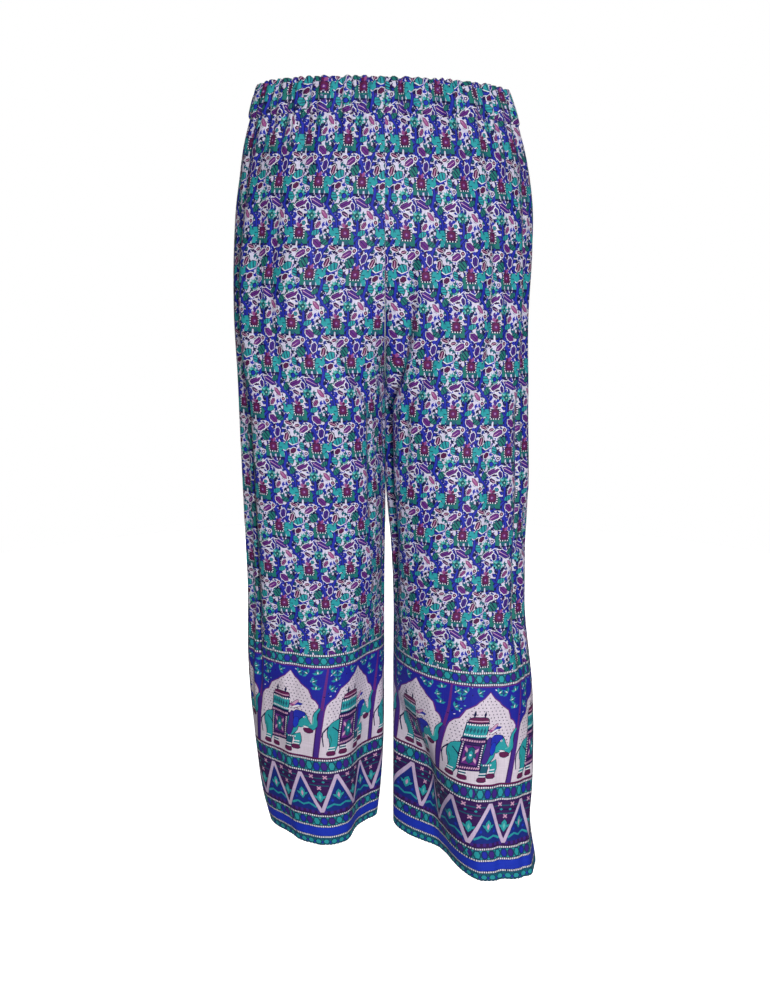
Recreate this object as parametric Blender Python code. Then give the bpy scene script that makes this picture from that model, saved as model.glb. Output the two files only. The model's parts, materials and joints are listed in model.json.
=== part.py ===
"""Palazzo pants, worn: an elastic gathered waist over two wide straight legs.

The cloth is a thin wall through rows. A row is one level of a leg, given by its drop, the length of cloth
from the waist's top edge down to it. Each row runs from the front rise seam, or the inseam lower down, round
the front to the side seam and on round the back. Left and right are the wearer's: the front faces -Y, so the
wearer's left leg is on the +X side. The origin is the middle of the waist.
"""

import math

import bmesh
import bpy
import numpy as np

# Lengths of cloth, in metres, down from the waist's top edge.
CASING_HEIGHT = 0.038
CROTCH_DROP = 0.365
HEM_DROP = 0.962
HEM_DEPTH = 0.017

# Walls. The panels are one layer, the hem is three and the casing two round elastic.
PANEL_WALL = 0.0012
HEM_WALL = 0.0020
CASING_WALL = 0.0036
SEAM_GAP = 0.0003

# How finely the walls are cut up.
ROWS_ABOVE_CROTCH = 13
ROWS_BELOW_CROTCH = 16
PANEL_COLUMNS = 22
RING_SAMPLES = 180
TOP_ROW_CROWDING = 1.35

# All the cloth hangs a little lower on the left leg. The waist's edge also dips to the front, which fades
# out down to the crotch.
WAIST_DIP = 0.006
TILT_TO_LEFT = -0.025
TILT_TO_FRONT = 0.030

# The body of the trousers: how far the front and back stand from the side seams, how square the rows are, and
# how far round each row its seam lies, as an angle that is 90 at the middle of the front and 0 at the inseam.
BODY_COLUMNS = ("drop", "front", "back", "square", "front_seam", "back_seam")
BODY = (
    (0.000, 0.097, 0.092, 2.15, 90, 90),
    (0.038, 0.101, 0.098, 2.15, 90, 90),
    (0.100, 0.107, 0.114, 2.20, 90, 90),
    (0.160, 0.110, 0.128, 2.25, 84, 87),
    (0.220, 0.110, 0.134, 2.30, 70, 80),
    (0.280, 0.108, 0.132, 2.35, 52, 66),
    (0.325, 0.106, 0.126, 2.40, 33, 44),
    (0.350, 0.105, 0.122, 2.40, 17, 22),
    (0.365, 0.104, 0.119, 2.40, 0, 0),
    (0.450, 0.100, 0.110, 2.40, 0, 0),
    (0.600, 0.096, 0.101, 2.35, 0, 0),
    (0.800, 0.094, 0.097, 2.20, 0, 0),
    (0.962, 0.092, 0.096, 2.10, 0, 0),
)

# Each leg: where its inner and outer sides are, how far it stands forward, and how far it is turned, as the
# fall of the cloth forward for each metre out.
LEG_COLUMNS = ("drop", "inner", "outer", "forward", "turn")
LEGS = {
    "right": (
        (0.000, 0.0000, 0.146, 0.000, 0.00),
        (0.038, 0.0000, 0.158, 0.000, 0.00),
        (0.075, 0.0000, 0.170, 0.000, 0.00),
        (0.120, 0.0000, 0.179, 0.000, 0.00),
        (0.180, 0.0000, 0.185, 0.000, 0.00),
        (0.260, 0.0000, 0.188, 0.000, 0.00),
        (0.365, 0.0002, 0.185, 0.000, 0.00),
        (0.470, 0.0004, 0.185, -0.006, 0.00),
        (0.620, 0.0006, 0.185, -0.014, 0.00),
        (0.740, 0.0008, 0.188, -0.018, 0.00),
        (0.850, 0.0020, 0.181, -0.019, 0.00),
        (0.920, 0.0060, 0.173, -0.020, 0.02),
        (0.962, 0.0110, 0.163, -0.020, 0.04),
    ),
    "left": (
        (0.000, 0.0000, 0.143, 0.000, 0.00),
        (0.038, 0.0000, 0.157, 0.000, 0.00),
        (0.075, 0.0000, 0.169, 0.000, 0.00),
        (0.120, 0.0000, 0.178, 0.000, 0.00),
        (0.180, 0.0000, 0.180, 0.000, 0.00),
        (0.260, 0.0000, 0.178, 0.000, 0.00),
        (0.365, 0.0002, 0.181, 0.000, 0.00),
        (0.470, 0.0030, 0.184, 0.008, 0.05),
        (0.560, 0.0080, 0.181, 0.014, 0.12),
        (0.620, 0.0108, 0.181, 0.020, 0.17),
        (0.740, 0.0110, 0.193, 0.030, 0.27),
        (0.850, 0.0112, 0.195, 0.038, 0.34),
        (0.910, 0.0112, 0.193, 0.042, 0.38),
        (0.962, 0.0114, 0.201, 0.045, 0.42),
    ),
}

# The largest folds. across runs from 0 at the rise seam or inseam to 1 at the side seam, at the fold's upper
# and lower end. A ridge has a height above zero and a trough one below it.
FOLD_COLUMNS = ("side", "leg", "across_up", "across_low", "upper", "lower", "half_width", "height")
FOLDS = (
    ("front", "right", 0.40, 0.42, 0.09, 0.62, 0.024, 0.0040),
    ("front", "right", 0.44, 0.47, 0.60, 1.30, 0.040, 0.0070),
    ("front", "right", 0.82, 0.80, 0.03, 0.78, 0.030, -0.0075),
    ("front", "right", 0.20, 0.17, 0.16, 0.52, 0.030, -0.0040),
    ("front", "right", 0.62, 0.60, 0.10, 0.40, 0.028, -0.0030),
    ("front", "right", 0.72, 0.68, 0.62, 1.30, 0.036, -0.0070),
    ("front", "right", 0.20, 0.24, 0.58, 1.30, 0.048, -0.0130),
    ("front", "left", 0.10, 0.13, 0.20, 0.60, 0.030, -0.0050),
    ("front", "left", 0.135, 0.55, 0.73, 1.30, 0.082, -0.0380),
    ("front", "left", 0.42, 0.44, 0.10, 0.56, 0.026, 0.0035),
    ("front", "left", 0.80, 0.78, 0.08, 0.72, 0.030, -0.0070),
    ("front", "left", 0.62, 0.56, 0.14, 0.46, 0.028, -0.0035),
    ("front", "left", 0.50, 0.54, 0.62, 1.30, 0.040, 0.0060),
    ("front", "left", 0.90, 0.88, 0.47, 0.56, 0.030, -0.0050),
    ("back", "right", 0.34, 0.36, 0.12, 0.90, 0.036, -0.0055),
    ("back", "right", 0.60, 0.56, 0.08, 0.70, 0.032, 0.0050),
    ("back", "right", 0.82, 0.84, 0.16, 1.30, 0.030, -0.0060),
    ("back", "right", 0.44, 0.50, 0.60, 1.30, 0.040, 0.0080),
    ("back", "left", 0.30, 0.33, 0.10, 0.84, 0.034, -0.0060),
    ("back", "left", 0.58, 0.60, 0.12, 1.30, 0.036, 0.0065),
    ("back", "left", 0.82, 0.80, 0.10, 0.70, 0.030, -0.0055),
    ("back", "left", 0.72, 0.76, 0.60, 1.30, 0.034, -0.0060),
)
FOLD_FADE = 0.22

# Soft waves below the casing, where the gathered cloth lets go.
WAVES_PER_PANEL = 7
WAVE_HEIGHT = 0.0026
WAVE_END_DROP = 0.150

# Uneven things are sums of sines: how fast each runs, how much it adds and where it starts.
WAVE_WANDER = ((9.0, 0.16, 1.0),)
WAVE_UNEVEN = ((13.0, 0.25, 2.5),)
WAVE_UNEVEN_MIDDLE = 0.75

# How much of a row, next to its inner seam and to its side seam, is held still by the seam.
HELD_AT_INNER_SEAM = 0.10
HELD_AT_SIDE_SEAM = 0.06

# The casing's own gathers. Its levels say how far down a ring is, and how much of the bulge it has.
CASING_GATHERS = 76
POINTS_PER_GATHER = 3
GATHER_HEIGHT = 0.0017
GATHER_SHARE_INSIDE = 0.35
GATHER_SHARE_UP = 0.50
GATHER_WANDER = ((5.0, 0.55, 0.0), (11.0, 0.35, 1.0))
GATHER_UNEVEN = ((7.0, 0.25, 2.0), (13.0, 0.20, 0.0))
GATHER_UNEVEN_MIDDLE = 0.80
CASING_BULGE = 0.0016
CASING_LEVELS = ((0.0, 0.2), (0.45, 1.0), (1.0, 0.4))

COLOURS = {
    "panel": (0.13, 0.16, 0.32, 1.0),
    "casing": (0.10, 0.12, 0.27, 1.0),
    "hem": (0.03, 0.07, 0.30, 1.0),
}
CLOTH_ROUGHNESS = 0.62
SHARP_FROM_DEGREES = 50.0
SIDE_OF_LEG = {"right": -1.0, "left": 1.0}


def clear_scene():
    for thing in list(bpy.data.objects):
        bpy.data.objects.remove(thing, do_unlink=True)


def smooth_step(value):
    value = np.clip(value, 0.0, 1.0)
    return value * value * (3.0 - 2.0 * value)


def along(rows, names, column, drop):
    """A table's column at any drop, on a smooth curve through its rows."""
    table = np.array(rows, float)
    at = table[:, 0]
    value = table[:, names.index(column)]
    slope = np.gradient(value, at)
    drop = np.clip(drop, at[0], at[-1])
    row = np.clip(np.searchsorted(at, drop, side="right") - 1, 0, len(at) - 2)
    span = at[row + 1] - at[row]
    part = (drop - at[row]) / span
    rise = value[row + 1] - value[row]
    # Where two rows are equal the curve stays flat between them.
    first = np.where(rise == 0.0, 0.0, slope[row]) * span
    last = np.where(rise == 0.0, 0.0, slope[row + 1]) * span
    ease = part * part * (3.0 - 2.0 * part)
    bend = part * (1.0 - part) * (first * (1.0 - part) - last * part)
    return value[row] + rise * ease + bend


def power(value, square):
    return np.sign(value) * np.abs(value) ** (2.0 / square)


def half_row(leg, side, drop, samples):
    """One panel's row seen from above, from its seam at the middle to the side seam: x outward, y forward."""
    square = along(BODY, BODY_COLUMNS, "square", drop)
    depth = along(BODY, BODY_COLUMNS, side, drop)
    start = math.radians(float(along(BODY, BODY_COLUMNS, side + "_seam", drop)))
    inner = along(LEGS[leg], LEG_COLUMNS, "inner", drop)
    outer = along(LEGS[leg], LEG_COLUMNS, "outer", drop)
    angle = np.linspace(start, math.pi, samples)
    begin = power(math.cos(start), square)
    reach = (begin - power(np.cos(angle), square)) / (begin + 1.0)
    across = inner + (outer - inner) * reach
    forward = depth * power(np.abs(np.sin(angle)), square)
    return across, forward


def spread_evenly(across, forward, parts):
    """The same line with its points equally far apart, and its length."""
    steps = np.hypot(np.diff(across), np.diff(forward))
    walked = np.concatenate(([0.0], np.cumsum(steps)))
    wanted = np.asarray(parts) * walked[-1]
    return np.interp(wanted, walked, across), np.interp(wanted, walked, forward), walked[-1]


def sum_of_sines(at, sines):
    """The sum of some sines, each given by its rate, its size and its start."""
    total = np.zeros_like(at)
    for rate, size, start in sines:
        total = total + size * np.sin(rate * at + start)
    return total


def fold_height(leg, side, across, drop, length):
    """How far the folds lift one row's cloth, at each place across it."""
    height = np.zeros_like(across)
    for row in FOLDS:
        fold = dict(zip(FOLD_COLUMNS, row))
        if fold["side"] != side or fold["leg"] != leg:
            continue
        part = (drop - fold["upper"]) / (fold["lower"] - fold["upper"])
        if part <= 0.0 or part >= 1.0:
            continue
        fade = smooth_step(part / FOLD_FADE) * smooth_step((1.0 - part) / FOLD_FADE)
        centre = fold["across_up"] + (fold["across_low"] - fold["across_up"]) * part
        away = np.clip(np.abs(across - centre) * length / fold["half_width"], 0.0, 1.0)
        height += fold["height"] * fade * 0.5 * (1.0 + np.cos(math.pi * away))
    let_go = smooth_step((WAVE_END_DROP - drop) / (WAVE_END_DROP - CASING_HEIGHT))
    turns = WAVES_PER_PANEL * across + sum_of_sines(across, WAVE_WANDER)
    uneven = WAVE_UNEVEN_MIDDLE + sum_of_sines(across, WAVE_UNEVEN)
    height += WAVE_HEIGHT * let_go * uneven * np.sin(2.0 * math.pi * turns)
    # Cloth at a seam stays where its neighbour is.
    free = smooth_step(across / HELD_AT_INNER_SEAM) * smooth_step((1.0 - across) / HELD_AT_SIDE_SEAM)
    return height * free


def leg_row(leg, drop, parts):
    """One whole row of a leg as points, round the front to the side seam and back inside, with its folds."""
    halves = []
    for side in ("front", "back"):
        across, forward = half_row(leg, side, drop, RING_SAMPLES)
        across, forward, length = spread_evenly(across, forward, parts)
        way_x = np.gradient(across)
        way_y = np.gradient(forward)
        size = np.hypot(way_x, way_y)
        lift = fold_height(leg, side, np.asarray(parts), drop, length)
        across = across - way_y / size * lift
        forward = forward + way_x / size * lift
        halves.append((across, forward if side == "front" else -forward))
    across = np.concatenate((halves[0][0], halves[1][0][-2::-1]))
    forward = np.concatenate((halves[0][1], halves[1][1][-2::-1]))
    inner = along(LEGS[leg], LEG_COLUMNS, "inner", drop)
    outer = along(LEGS[leg], LEG_COLUMNS, "outer", drop)
    across = np.maximum(across, max(float(inner), SEAM_GAP / 2.0))
    middle = (inner + outer) / 2.0
    forward = forward + along(LEGS[leg], LEG_COLUMNS, "forward", drop)
    forward = forward + along(LEGS[leg], LEG_COLUMNS, "turn", drop) * (across - middle)
    x = SIDE_OF_LEG[leg] * across
    y = -forward
    unsettled = 1.0 - smooth_step(drop / CROTCH_DROP)
    z = CASING_HEIGHT / 2.0 - drop - WAIST_DIP + TILT_TO_LEFT * x + TILT_TO_FRONT * unsettled * y
    return np.stack((x, y, z), axis=1)


def normals_of(grid, outward):
    """The outward direction at each point of a grid of rows and columns."""
    down = np.gradient(grid, axis=0)
    round_it = np.gradient(grid, axis=1)
    normal = np.cross(down, round_it) * outward
    return normal / np.linalg.norm(normal, axis=2, keepdims=True)


def add_wall(name, outside, inside, material, closed=False):
    """A closed wall between two grids of points of the same size."""
    rows, columns = outside.shape[:2]
    mesh = bmesh.new()
    outer = [[mesh.verts.new(point) for point in row] for row in outside]
    inner = [[mesh.verts.new(point) for point in row] for row in inside]
    steps = columns if closed else columns - 1
    for here in range(steps):
        next_one = (here + 1) % columns
        for row in range(rows - 1):
            low = row + 1
            mesh.faces.new((outer[row][here], outer[low][here], outer[low][next_one], outer[row][next_one]))
            mesh.faces.new((inner[row][here], inner[row][next_one], inner[low][next_one], inner[low][here]))
        mesh.faces.new((outer[0][here], outer[0][next_one], inner[0][next_one], inner[0][here]))
        mesh.faces.new((outer[-1][here], inner[-1][here], inner[-1][next_one], outer[-1][next_one]))
    if not closed:
        for row in range(rows - 1):
            low = row + 1
            mesh.faces.new((outer[row][0], inner[row][0], inner[low][0], outer[low][0]))
            mesh.faces.new((outer[row][-1], outer[low][-1], inner[low][-1], inner[row][-1]))
    bmesh.ops.triangulate(mesh, faces=mesh.faces[:], quad_method="BEAUTY")
    bmesh.ops.recalc_face_normals(mesh, faces=mesh.faces[:])
    data = bpy.data.meshes.new(name)
    mesh.to_mesh(data)
    mesh.free()
    data.shade_smooth()
    data.set_sharp_from_angle(angle=math.radians(SHARP_FROM_DEGREES))
    data.materials.append(material)
    thing = bpy.data.objects.new(name, data)
    bpy.context.scene.collection.objects.link(thing)
    return thing


def cloth_material(name, colour):
    material = bpy.data.materials.new(name)
    material.use_nodes = True
    shader = material.node_tree.nodes["Principled BSDF"]
    shader.inputs["Base Color"].default_value = colour
    shader.inputs["Roughness"].default_value = CLOTH_ROUGHNESS
    shader.inputs["Metallic"].default_value = 0.0
    return material


def panel_drops():
    above = np.linspace(0.0, 1.0, ROWS_ABOVE_CROTCH + 1) ** TOP_ROW_CROWDING
    first = CASING_HEIGHT + SEAM_GAP
    last = HEM_DROP - HEM_DEPTH - SEAM_GAP
    upper = first + (CROTCH_DROP - first) * above
    lower = np.linspace(CROTCH_DROP, last, ROWS_BELOW_CROTCH + 1)
    return np.concatenate((upper, lower[1:]))


def leg_grid(leg, drops, wall):
    """A leg's outer and inner points for some rows, all round."""
    parts = np.linspace(0.0, 1.0, PANEL_COLUMNS + 1)
    outside = np.array([leg_row(leg, drop, parts) for drop in drops])
    normal = normals_of(outside, SIDE_OF_LEG[leg])
    for row, drop in enumerate(drops):
        if drop >= CROTCH_DROP - 1e-6:
            # A closed row: both sides of the inseam share one direction.
            shared = normal[row, 0] + normal[row, -1]
            normal[row, (0, -1)] = shared / np.linalg.norm(shared)
        else:
            # At the rise seams no wall leans over the middle.
            for column in (0, -1):
                direction = normal[row, column]
                direction[0] = SIDE_OF_LEG[leg] * min(SIDE_OF_LEG[leg] * direction[0], 0.0)
                normal[row, column] = direction / np.linalg.norm(direction)
    inside = outside - normal * wall
    return outside, inside


def make_panels(leg, material):
    drops = panel_drops()
    outside, inside = leg_grid(leg, drops, PANEL_WALL)
    for side, first, last in (("front", 0, PANEL_COLUMNS), ("back", PANEL_COLUMNS, 2 * PANEL_COLUMNS)):
        outer = outside[:, first : last + 1].copy()
        inner = inside[:, first : last + 1].copy()
        # Each edge of the panel draws back from its seam by half the gap.
        for edge, beside in ((0, 1), (-1, -2)):
            way = outer[:, beside] - outer[:, edge]
            way = way / np.linalg.norm(way, axis=1, keepdims=True) * SEAM_GAP / 2.0
            outer[:, edge] += way
            inner[:, edge] += way
        add_wall(f"{side}_panel_{leg}_leg", outer, inner, material)


def make_hem(leg, material):
    drops = np.linspace(HEM_DROP - HEM_DEPTH, HEM_DROP, 3)
    outside, inside = leg_grid(leg, drops, HEM_WALL)
    add_wall(f"hem_{leg}_leg", outside[:, :-1], inside[:, :-1], material, closed=True)


def waist_row(drop, count):
    """The whole waist at one drop, evenly spaced, from the middle of the front round the wearer's left."""
    parts = np.linspace(0.0, 1.0, RING_SAMPLES)
    left_leg = leg_row("left", drop, parts)
    right_leg = leg_row("right", drop, parts)
    line = np.concatenate((left_leg, right_leg[::-1]))
    line = np.vstack((line, line[:1]))
    walked = np.concatenate(([0.0], np.cumsum(np.linalg.norm(np.diff(line, axis=0), axis=1))))
    wanted = np.linspace(0.0, walked[-1], count, endpoint=False)
    return np.stack([np.interp(wanted, walked, line[:, axis]) for axis in range(3)], axis=1)


def make_casing(material):
    count = CASING_GATHERS * POINTS_PER_GATHER
    turn = 2.0 * math.pi * np.arange(count) / count
    uneven = GATHER_UNEVEN_MIDDLE + sum_of_sines(turn, GATHER_UNEVEN)
    gather = np.sin(CASING_GATHERS * turn + sum_of_sines(turn, GATHER_WANDER)) * uneven
    outside = []
    inside = []
    for level, bulge in CASING_LEVELS:
        ring = waist_row(level * CASING_HEIGHT, count)
        way = np.roll(ring, -1, axis=0) - np.roll(ring, 1, axis=0)
        out = np.stack((way[:, 1], -way[:, 0], np.zeros(count)), axis=1)
        out = out / np.linalg.norm(out, axis=1, keepdims=True)
        lift = CASING_BULGE * bulge + GATHER_HEIGHT * gather
        outer = ring + out * (lift + CASING_WALL / 2.0)[:, None]
        inner = ring + out * (GATHER_SHARE_INSIDE * GATHER_HEIGHT * gather - CASING_WALL / 2.0)[:, None]
        if level == 0.0:
            outer[:, 2] += GATHER_SHARE_UP * GATHER_HEIGHT * gather
            inner[:, 2] += GATHER_SHARE_UP * GATHER_HEIGHT * gather
        outside.append(outer)
        inside.append(inner)
    add_wall("waist_casing", np.array(outside), np.array(inside), material, closed=True)


def main():
    clear_scene()
    panel = cloth_material("printed_rayon", COLOURS["panel"])
    casing = cloth_material("gathered_rayon", COLOURS["casing"])
    hem = cloth_material("hemmed_rayon", COLOURS["hem"])
    make_casing(casing)
    for leg in ("right", "left"):
        make_panels(leg, panel)
        make_hem(leg, hem)


main()
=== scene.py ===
"""Palazzo pants, worn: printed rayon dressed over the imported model.

The cloth is laid out flat first. The print is drawn on the flat cloth as closed shapes, cut together with
the panel's own outline, and carried over to the worn form point by point, so that it runs with the folds and
gathers as real print does. Left and right are the wearer's. Lengths are in metres, and in millimetres on the
flat cloth.
"""

import json
import math

import bpy
import numpy as np
from mathutils.geometry import delaunay_2d_cdt
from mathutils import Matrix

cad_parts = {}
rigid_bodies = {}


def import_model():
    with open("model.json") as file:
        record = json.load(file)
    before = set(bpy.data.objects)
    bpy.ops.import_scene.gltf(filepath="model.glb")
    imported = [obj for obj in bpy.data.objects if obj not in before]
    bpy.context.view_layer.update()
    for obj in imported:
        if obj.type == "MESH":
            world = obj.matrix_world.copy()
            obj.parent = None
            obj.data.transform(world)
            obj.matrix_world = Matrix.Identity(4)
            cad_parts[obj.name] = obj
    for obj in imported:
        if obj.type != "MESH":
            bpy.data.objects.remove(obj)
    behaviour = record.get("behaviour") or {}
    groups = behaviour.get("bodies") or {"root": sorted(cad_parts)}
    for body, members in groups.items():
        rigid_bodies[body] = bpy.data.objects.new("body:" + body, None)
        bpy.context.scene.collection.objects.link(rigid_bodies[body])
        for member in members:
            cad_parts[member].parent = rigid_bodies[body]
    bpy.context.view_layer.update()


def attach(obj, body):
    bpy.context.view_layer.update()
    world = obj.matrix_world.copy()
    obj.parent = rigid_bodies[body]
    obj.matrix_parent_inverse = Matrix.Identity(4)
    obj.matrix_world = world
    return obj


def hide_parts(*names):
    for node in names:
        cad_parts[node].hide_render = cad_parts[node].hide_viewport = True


for thing in list(bpy.data.objects):
    bpy.data.objects.remove(thing, do_unlink=True)
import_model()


# ----------------------------------------------------------------------------------------------------------
# The worn cloth. Each leg is two panels of light rayon, sewn at the side and the inseam, and gathered at the
# top. They hang from the elastic waist in long soft folds. The sizes, rows and main folds are those of the
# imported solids, but for the dip at the rise and the legs pressed together. The finer folds are added here.

CASING_HEIGHT = 0.038
CROTCH_DROP = 0.365
HEM_DROP = 0.962
HEM_DEPTH = 0.017
SEAM_GAP = 0.00002
# From this drop down the legs are pressed together wherever their inner sides meet.
PRESSED_FROM = 0.20
CLOTH = 0.0008
PANEL_CLOTH = 0.0012
RING_SAMPLES = 260

WAIST_DIP = 0.006
TILT_TO_LEFT = -0.025
TILT_TO_FRONT = 0.030

# How far the front and back stand from the side seams, how square each row is, and how far round it its
# middle seam lies: 90 is the middle of the front or back and 0 the inseam.
BODY_COLUMNS = ("drop", "front", "back", "square", "front_seam", "back_seam")
BODY = (
    (0.000, 0.097, 0.092, 2.15, 90, 90),
    (0.038, 0.101, 0.098, 2.15, 90, 90),
    (0.100, 0.107, 0.114, 2.20, 90, 90),
    (0.160, 0.110, 0.128, 2.25, 78, 87),
    (0.220, 0.110, 0.134, 2.30, 60, 80),
    (0.280, 0.108, 0.132, 2.35, 38, 64),
    (0.325, 0.106, 0.126, 2.40, 20, 38),
    (0.350, 0.105, 0.122, 2.40, 8, 15),
    (0.365, 0.104, 0.119, 2.40, 0, 0),
    (0.450, 0.100, 0.110, 2.40, 0, 0),
    (0.600, 0.096, 0.101, 2.35, 0, 0),
    (0.800, 0.094, 0.097, 2.20, 0, 0),
    (0.962, 0.092, 0.096, 2.10, 0, 0),
)

# Where each leg's inner and outer sides are, how far it stands forward, and its fall forward for each metre
# out.
LEG_COLUMNS = ("drop", "inner", "outer", "forward", "turn")
LEGS = {
    "right": (
        (0.000, 0.0000, 0.146, 0.000, 0.00),
        (0.038, 0.0000, 0.158, 0.000, 0.00),
        (0.075, 0.0000, 0.170, 0.000, 0.00),
        (0.120, 0.0000, 0.179, 0.000, 0.00),
        (0.180, 0.0000, 0.185, 0.000, 0.00),
        (0.260, 0.0000, 0.188, 0.000, 0.00),
        (0.365, -0.0009, 0.185, 0.000, 0.00),
        (0.470, -0.0008, 0.185, -0.006, 0.00),
        (0.620, 0.0006, 0.185, -0.014, 0.00),
        (0.740, 0.0008, 0.188, -0.018, 0.00),
        (0.850, 0.0020, 0.181, -0.019, 0.00),
        (0.920, 0.0060, 0.173, -0.020, 0.02),
        (0.962, 0.0110, 0.163, -0.020, 0.04),
    ),
    "left": (
        (0.000, 0.0000, 0.143, 0.000, 0.00),
        (0.038, 0.0000, 0.157, 0.000, 0.00),
        (0.075, 0.0000, 0.169, 0.000, 0.00),
        (0.120, 0.0000, 0.178, 0.000, 0.00),
        (0.180, 0.0000, 0.180, 0.000, 0.00),
        (0.260, 0.0000, 0.178, 0.000, 0.00),
        (0.365, -0.0009, 0.181, 0.000, 0.00),
        (0.470, 0.0006, 0.184, 0.008, 0.05),
        (0.560, 0.0080, 0.181, 0.014, 0.12),
        (0.620, 0.0108, 0.181, 0.020, 0.17),
        (0.740, 0.0110, 0.193, 0.030, 0.27),
        (0.850, 0.0112, 0.195, 0.038, 0.34),
        (0.910, 0.0112, 0.193, 0.042, 0.38),
        (0.962, 0.0114, 0.201, 0.045, 0.42),
    ),
}
SIDE_OF_LEG = {"right": -1.0, "left": 1.0}

# Folds. across runs from 0 at the middle seam or inseam to 1 at the side seam, at the fold's upper and lower
# end. A ridge has a height above zero and a trough one below it.
FOLD_COLUMNS = ("side", "leg", "across_up", "across_low", "upper", "lower", "half_width", "height")
MAIN_FOLDS = (
    ("front", "right", 0.40, 0.42, 0.09, 0.62, 0.024, 0.0040),
    ("front", "right", 0.44, 0.47, 0.60, 1.30, 0.040, 0.0070),
    ("front", "right", 0.82, 0.80, 0.03, 0.78, 0.030, -0.0075),
    ("front", "right", 0.20, 0.17, 0.16, 0.52, 0.030, -0.0040),
    ("front", "right", 0.62, 0.60, 0.10, 0.40, 0.028, -0.0030),
    ("front", "right", 0.72, 0.68, 0.62, 1.30, 0.036, -0.0070),
    ("front", "right", 0.20, 0.24, 0.58, 1.30, 0.048, -0.0130),
    ("front", "left", 0.10, 0.13, 0.20, 0.60, 0.030, -0.0050),
    ("front", "left", 0.135, 0.55, 0.73, 1.30, 0.082, -0.0380),
    ("front", "left", 0.42, 0.44, 0.10, 0.56, 0.026, 0.0035),
    ("front", "left", 0.80, 0.78, 0.08, 0.72, 0.030, -0.0070),
    ("front", "left", 0.62, 0.56, 0.14, 0.46, 0.028, -0.0035),
    ("front", "left", 0.50, 0.54, 0.62, 1.30, 0.040, 0.0060),
    ("front", "left", 0.90, 0.88, 0.47, 0.56, 0.030, -0.0050),
    ("back", "right", 0.34, 0.36, 0.12, 0.90, 0.036, -0.0055),
    ("back", "right", 0.60, 0.56, 0.08, 0.70, 0.032, 0.0050),
    ("back", "right", 0.82, 0.84, 0.16, 1.30, 0.030, -0.0060),
    ("back", "right", 0.44, 0.50, 0.60, 1.30, 0.040, 0.0080),
    ("back", "left", 0.30, 0.33, 0.10, 0.84, 0.034, -0.0060),
    ("back", "left", 0.58, 0.60, 0.12, 1.30, 0.036, 0.0065),
    ("back", "left", 0.82, 0.80, 0.10, 0.70, 0.030, -0.0055),
    ("back", "left", 0.72, 0.76, 0.60, 1.30, 0.034, -0.0060),
)
FINE_FOLDS = (
    ("front", "right", 0.405, 0.425, 0.12, 0.60, 0.007, -0.0030),
    ("front", "right", 0.86, 0.84, 0.06, 0.86, 0.012, -0.0030),
    ("front", "right", 0.93, 0.92, 0.10, 0.95, 0.010, -0.0022),
    ("front", "right", 0.80, 0.785, 0.03, 0.80, 0.012, -0.0110),
    ("front", "right", 0.71, 0.69, 0.06, 0.76, 0.020, 0.0034),
    ("front", "right", 0.09, 0.07, 0.30, 0.72, 0.012, -0.0040),
    ("front", "right", 0.52, 0.55, 0.08, 0.44, 0.010, -0.0034),
    ("front", "right", 0.24, 0.22, 0.14, 0.58, 0.011, -0.0040),
    ("front", "right", 0.56, 0.60, 0.50, 0.80, 0.016, -0.0020),
    ("front", "right", 0.34, 0.36, 0.66, 1.20, 0.014, 0.0022),
    ("front", "right", 0.10, 0.08, 0.70, 1.20, 0.014, 0.0024),
    ("front", "right", 0.86, 0.88, 0.74, 1.20, 0.014, 0.0022),
    ("front", "left", 0.43, 0.45, 0.14, 0.54, 0.005, 0.0011),
    ("front", "left", 0.84, 0.83, 0.08, 0.80, 0.012, -0.0028),
    ("front", "left", 0.92, 0.93, 0.14, 0.96, 0.011, -0.0022),
    ("front", "left", 0.79, 0.78, 0.06, 0.74, 0.012, -0.0110),
    ("front", "left", 0.70, 0.69, 0.08, 0.70, 0.020, 0.0032),
    ("front", "left", 0.115, 0.11, 0.12, 0.70, 0.018, -0.0080),
    ("front", "left", 0.30, 0.26, 0.10, 0.50, 0.011, -0.0042),
    ("front", "left", 0.54, 0.52, 0.08, 0.42, 0.010, -0.0036),
    ("front", "left", 0.62, 0.60, 0.36, 0.72, 0.013, -0.0040),
    ("front", "left", 0.64, 0.68, 0.70, 1.20, 0.015, -0.0030),
    ("front", "left", 0.84, 0.80, 0.74, 1.20, 0.014, 0.0026),
    ("front", "left", 0.90, 0.72, 0.52, 0.60, 0.010, 0.0030),
    ("back", "right", 0.22, 0.24, 0.10, 0.60, 0.014, -0.0022),
    ("back", "right", 0.48, 0.44, 0.10, 0.52, 0.014, -0.0020),
    ("back", "right", 0.70, 0.72, 0.14, 0.80, 0.015, -0.0026),
    ("back", "right", 0.92, 0.90, 0.20, 0.90, 0.011, -0.0022),
    ("back", "right", 0.16, 0.14, 0.56, 1.20, 0.016, -0.0034),
    ("back", "right", 0.30, 0.27, 0.70, 1.20, 0.015, 0.0026),
    ("back", "left", 0.20, 0.18, 0.12, 0.64, 0.014, -0.0022),
    ("back", "left", 0.44, 0.46, 0.08, 0.50, 0.014, -0.0020),
    ("back", "left", 0.70, 0.66, 0.16, 0.74, 0.015, -0.0026),
    ("back", "left", 0.90, 0.92, 0.12, 0.96, 0.011, -0.0022),
    ("back", "left", 0.14, 0.12, 0.60, 1.20, 0.016, -0.0032),
    ("back", "left", 0.42, 0.40, 0.66, 1.20, 0.015, 0.0028),
)
FOLD_FADE = 0.22

# Soft waves where the gathered cloth lets go, and how far the gathers reach down as ripples on them.
WAVES_PER_PANEL = 7
WAVE_HEIGHT = 0.0026
WAVE_END_DROP = 0.150
WAVE_WANDER = ((9.0, 0.16, 1.0),)
WAVE_UNEVEN = ((13.0, 0.25, 2.5),)
WAVE_UNEVEN_MIDDLE = 0.75
RIPPLE_HEIGHT = 0.0015
RIPPLE_END_DROP = 0.105

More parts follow.
